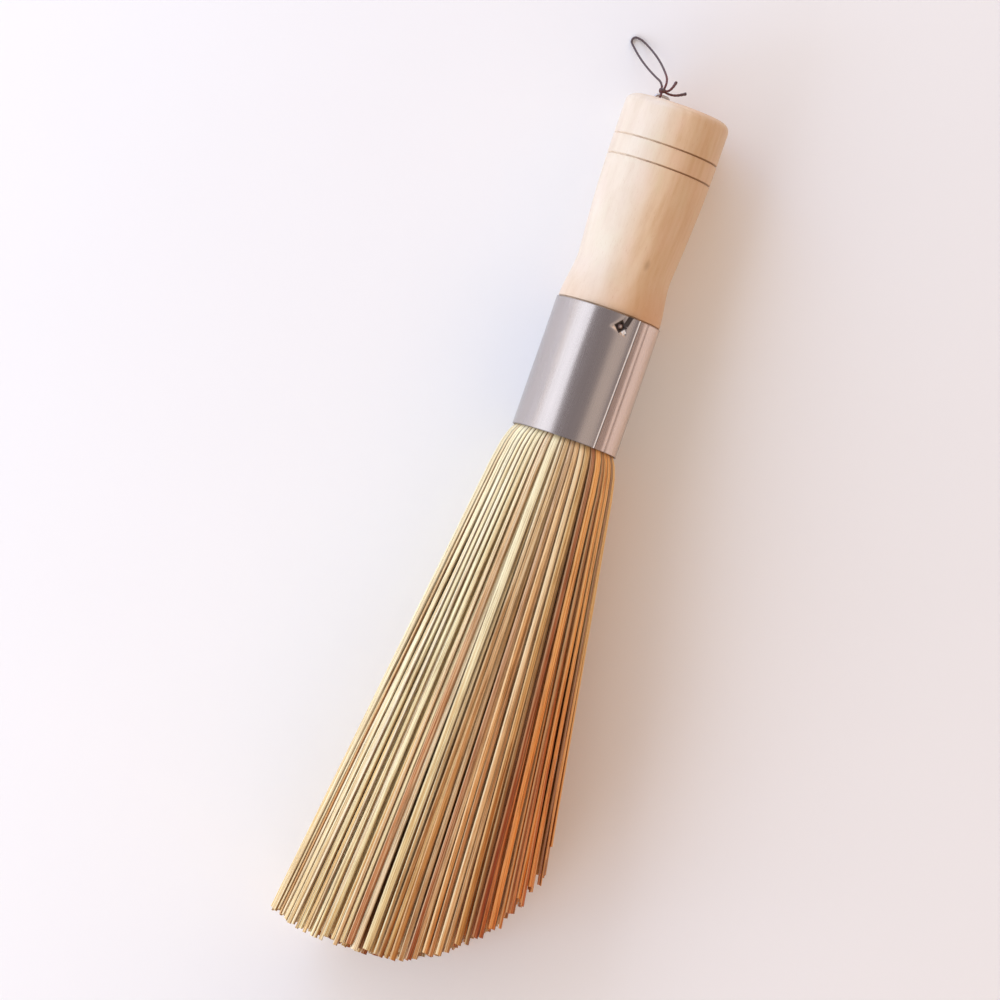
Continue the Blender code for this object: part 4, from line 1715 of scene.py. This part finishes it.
@dataclass
class Bundle:
    """The strips: eight rings that leave the ferrule straight and then flare.

    Each ring has two layers. The strips of the lower one lie below the joints of the upper one
    and rise into the gaps that open there as the bundle flares.
    """

    rings: int = 8
    ring_gap: float = 0.0003
    strip_gap: float = 0.0001
    face_thickness: tuple[float, float] = (0.00062, 0.00074)
    fill_thickness: tuple[float, float] = (0.00044, 0.00054)
    length_spread: float = 0.0022
    length_bias: float = 1.6
    bulge: float = 0.0021
    bulge_drop: float = 0.0036
    flare_left: float = math.radians(7.05)
    flare_right: float = math.radians(9.46)
    flare_depth: float = math.radians(4.26)
    rise_start: float = 0.030
    rise_end: float = 0.130
    ring_turn: float = math.radians(137.5)
    chamfer: float = 0.21
    seed: int = 11
    dye: Dye = Dye()
    face_growth: tuple[float, float] = (1.05, 1.25)
    fill_growth: tuple[float, float] = (1.10, 1.45)
    fill_width: tuple[float, float] = (0.86, 1.0)
    fill_depth: float = 0.45
    core_sink: tuple[float, float] = (0.35, 0.75)
    inner_lift: float = 0.55
    outer_lift: float = 0.90
    inner_wear: float = 0.0025
    stray_in: float = -0.0003
    stray_loose: float = 0.0010
    stray_held: float = 0.0002
    stray_across: float = 0.00028
    stray_curve: float = 1.3
    bow: float = 0.00030
    inner_twist: float = math.radians(14)
    outer_twist: float = math.radians(8)
    slant: float = 0.18
    pattern_step: float = 0.0137
    rest_step: float = 0.1

    # How far below the mouth each ring of corners of a strip is; the last is its tip
    DROPS = (0.0, 0.0025, 0.006, 0.0125, 0.045, 0.105)

    # Narrow, middle and wide strips: the lots that draw them and the widths they may have
    WIDTHS = ((0.30, (0.0010, 0.0014)), (0.78, (0.0014, 0.0020)), (1.00, (0.0022, 0.0031)))

    # The worn outline of the tips: place from left to right, and how far they reach
    TIPS = (
        (-1.0, 0.1590), (-0.88, 0.1612), (-0.60, 0.1636), (-0.20, 0.1640), (0.10, 0.1622),
        (0.30, 0.1584), (0.44, 0.1540), (0.57, 0.1482), (0.68, 0.1440), (0.76, 0.1390),
        (0.84, 0.1335), (0.91, 0.1265), (0.96, 0.1200), (1.0, 0.1130),
    )

    def spread(self, share: Vector, drop: float) -> Vector:
        """Where a strip is below the mouth.

        Args:
            share: its place in the bore, as shares of the root radius.
            drop: distance below the mouth, below zero inside the ferrule.

        Returns:
            The place of its middle.
        """
        below = max(0.0, drop)
        start = SIZES.root_radius + self.bulge * (1 - math.exp(-below / self.bulge_drop))
        left = start + math.tan(self.flare_left) * below
        right = start + math.tan(self.flare_right) * below
        depth = start + math.tan(self.flare_depth) * below
        width = (right + left) / 2 + (right - left) / 2 * share.x
        return Vector((share.x * width, share.y * depth, -drop))

    def reach(self, share_x: float, chance: random.Random) -> float:
        """How far a strip reaches below the mouth."""
        pairs = zip(self.TIPS, self.TIPS[1:])
        left, right = next((pair for pair in pairs if share_x <= pair[1][0]), self.TIPS[-2:])
        share = (share_x - left[0]) / (right[0] - left[0])
        outline = left[1] + (right[1] - left[1]) * share
        return outline - self.length_spread * chance.random() ** self.length_bias

    def widths(self, ring: int, round_length: float, chance: random.Random) -> list[float]:
        """Widths of the strips of a ring, which fill its way round.

        Args:
            ring: number of the ring, from the inside.
            round_length: the way round at the middle of the ring.
            chance: source of the uneven widths.

        Returns:
            The widths.
        """
        found = []
        kinds = self.WIDTHS if ring >= self.rings - 2 else self.WIDTHS[:2]
        while sum(found) + len(found) * self.strip_gap < round_length:
            lot = chance.random()
            limits = next((limits for top, limits in kinds if lot < top), kinds[-1][1])
            found.append(chance.uniform(*limits))
        scale = (round_length - len(found) * self.strip_gap) / sum(found)
        return [width * scale for width in found]

    def plan_ring(self, ring: int, first_number: int, chance: random.Random) -> list[Strip]:
        """Plans the strips of one ring.

        Args:
            ring: number of the ring, from the inside.
            first_number: number of its first strip in the bundle.
            chance: source of all that is uneven.

        Returns:
            The strips of both layers.
        """
        root = SIZES.root_radius
        inmost = SIZES.wedge_radius + SIZES.gap
        ring_step = (root - inmost + self.ring_gap) / self.rings
        inner = inmost + ring * ring_step
        outer = inner + ring_step - self.ring_gap
        face_radius = outer - self.face_thickness[1] / 2
        fill_radius = inner + self.fill_thickness[1] / 2
        widths = self.widths(ring, 2 * math.pi * face_radius, chance)
        inside = ring < self.rings - 1
        strips = []
        angle = ring * self.ring_turn
        for index, width in enumerate(widths):
            half_turn = (width + self.strip_gap) / 2 / face_radius
            beside = min(width, widths[(index + 1) % len(widths)])
            fill_width = (beside + self.strip_gap) * fill_radius / face_radius - self.strip_gap
            rise = face_radius / fill_radius - 1
            face = (
                angle + half_turn, face_radius, width, self.face_thickness, self.face_growth, 0.0,
            )
            fill = (
                angle + 2 * half_turn, fill_radius, fill_width * chance.uniform(*self.fill_width),
                self.fill_thickness, self.fill_growth,
                -chance.uniform(*self.core_sink) if ring == 0
                else rise * chance.uniform(self.inner_lift if inside else self.outer_lift, 1.0),
            )
            for layer, plan in enumerate((face, fill)):
                turn, radius, strip_width, thickness, growth, lift = plan
                share = around(turn, radius / root, 0).xy
                ring_depth = (self.rings - 1 - ring) / (self.rings - 1)
                depth = min(1.0, ring_depth + self.fill_depth * layer)
                out = self.stray_loose if inside and not layer else self.stray_held
                strips.append(Strip(
                    share=share,
                    length=self.reach(share.x, chance)
                    - inside * self.inner_wear * chance.random(),
                    width=strip_width,
                    thickness=chance.uniform(*thickness),
                    growth=chance.uniform(*growth),
                    stray_out=chance.uniform(self.stray_in, out),
                    stray_across=self.stray_across * chance.uniform(-1, 1) * (2 if inside else 1),
                    bow=self.bow * chance.gauss(0, 1),
                    twist=(self.inner_twist if inside else self.outer_twist) * chance.gauss(0, 1),
                    rise=lift,
                    slant=strip_width * chance.uniform(-self.slant, self.slant),
                    tint=self.dye.pick(share.x, depth, chance),
                    number=first_number + len(strips),
                ))
            angle += 2 * half_turn
        return strips

    @staticmethod
    def long_edges(bm: bmesh.types.BMesh) -> list[bmesh.types.BMEdge]:
        """The edges that run along a blank."""
        return [edge for edge in bm.edges if abs(edge.verts[0].co.z - edge.verts[1].co.z) > 0.5]

    def blank(self) -> bpy.types.Mesh:
        """A strip one unit wide, thick and long, with its long edges taken off.

        Returns:
            The mesh, whose rings of corners lie at whole steps of its length.
        """
        bm = bmesh.new()
        bmesh.ops.create_cube(bm, size=1)
        bmesh.ops.bevel(
            bm, geom=self.long_edges(bm), offset=self.chamfer, offset_type="OFFSET", segments=1,
            profile=0.5, affect="EDGES", material=-1,
        )
        bmesh.ops.subdivide_edges(bm, edges=self.long_edges(bm), cuts=len(self.DROPS))
        return meshed(bm, "strip_blank")

    def bend_strip(self, corners: list[bmesh.types.BMVert], strip: Strip, layers: tuple) -> None:
        """Gives the corners of a blank the shape of one strip.

        Args:
            corners: the blank's corners.
            strip: the strip.
            layers: the layers of its places and its tint.
        """
        place_layer, tint_layer = layers
        stations = (-SIZES.root_top, *self.DROPS, strip.length)
        frames = []
        for drop in stations:
            share = max(0.0, drop) / strip.length
            lift = 1 + strip.rise * smooth_step(drop, self.rise_start, self.rise_end)
            middle = self.spread(strip.share * lift, drop)
            outward = Vector((middle.x, middle.y, 0)).normalized()
            turn = Matrix.Rotation(strip.twist * share, 3, "Z")
            across = turn @ Vector((-outward.y, outward.x, 0))
            middle += outward * strip.stray_out * share ** self.stray_curve
            middle += across * (strip.stray_across * share + strip.bow * math.sin(math.pi * share))
            width = strip.width * (1 + (strip.growth - 1) * share)
            frames.append((drop, middle, across, turn @ outward, width))
        last = len(stations) - 1
        for corner in corners:
            side, layer = corner.co.x, corner.co.y
            station = round((0.5 - corner.co.z) * last)
            drop, middle, across, outward, width = frames[station]
            place = middle + across * (side * width) + outward * (layer * strip.thickness)
            if station == last:
                place.z += strip.slant * side
            place = LYING @ place
            rest = TABLE_CLEARANCE + strip.thickness * (layer + 0.5) * self.rest_step
            place.z = max(place.z, rest)
            corner.co = place
            corner[place_layer] = (strip.number * self.pattern_step + side * width, drop, side * 2)
            corner[tint_layer] = strip.tint

    def build(self) -> None:
        """Makes the eight rings of strips."""
        chance = random.Random(self.seed)
        finish = SplitBamboo().material()
        blank = self.blank()
        number = 0
        for ring in range(self.rings):
            strips = self.plan_ring(ring, number, chance)
            number += len(strips)
            bm = bmesh.new()
            layers = (
                bm.verts.layers.float_vector.new("strip_place"),
                bm.verts.layers.float_color.new("strip_tint"),
            )
            for strip in strips:
                start = len(bm.verts)
                bm.from_mesh(blank)
                bm.verts.ensure_lookup_table()
                self.bend_strip(bm.verts[start:], strip, layers)
            bmesh.ops.recalc_face_normals(bm, faces=bm.faces)
            name = f"bamboo_ring_{ring + 1}"
            node = f"bamboo_strips_ring_{ring + 1}"
            add_piece(bm, name, finish, [node], sharp=30, lying=True)
        bpy.data.meshes.remove(blank)
        LOG.info("%d strips in all", number)


def main() -> None:
    """Builds the studio and then every piece of the brush."""
    logging.basicConfig(level=logging.INFO, format="%(name)s %(message)s")
    Studio().build()
    HangingCord().build()
    steel = DarkSteel().material()
    Staple().build(steel)
    Handle().build()
    Ferrule().build()
    Tack("tack_front", "ferrule_tack_front", SIZES.tack_angle, SIZES.sheet_face).build(steel)
    back_seat = SIZES.sheet_face + SIZES.lap_gap
    Tack("tack_back", "ferrule_tack_back", SIZES.tack_angle + math.pi, back_seat).build(steel)
    Wedge().build()
    Bundle().build()


if __name__ == "__main__":
    main()
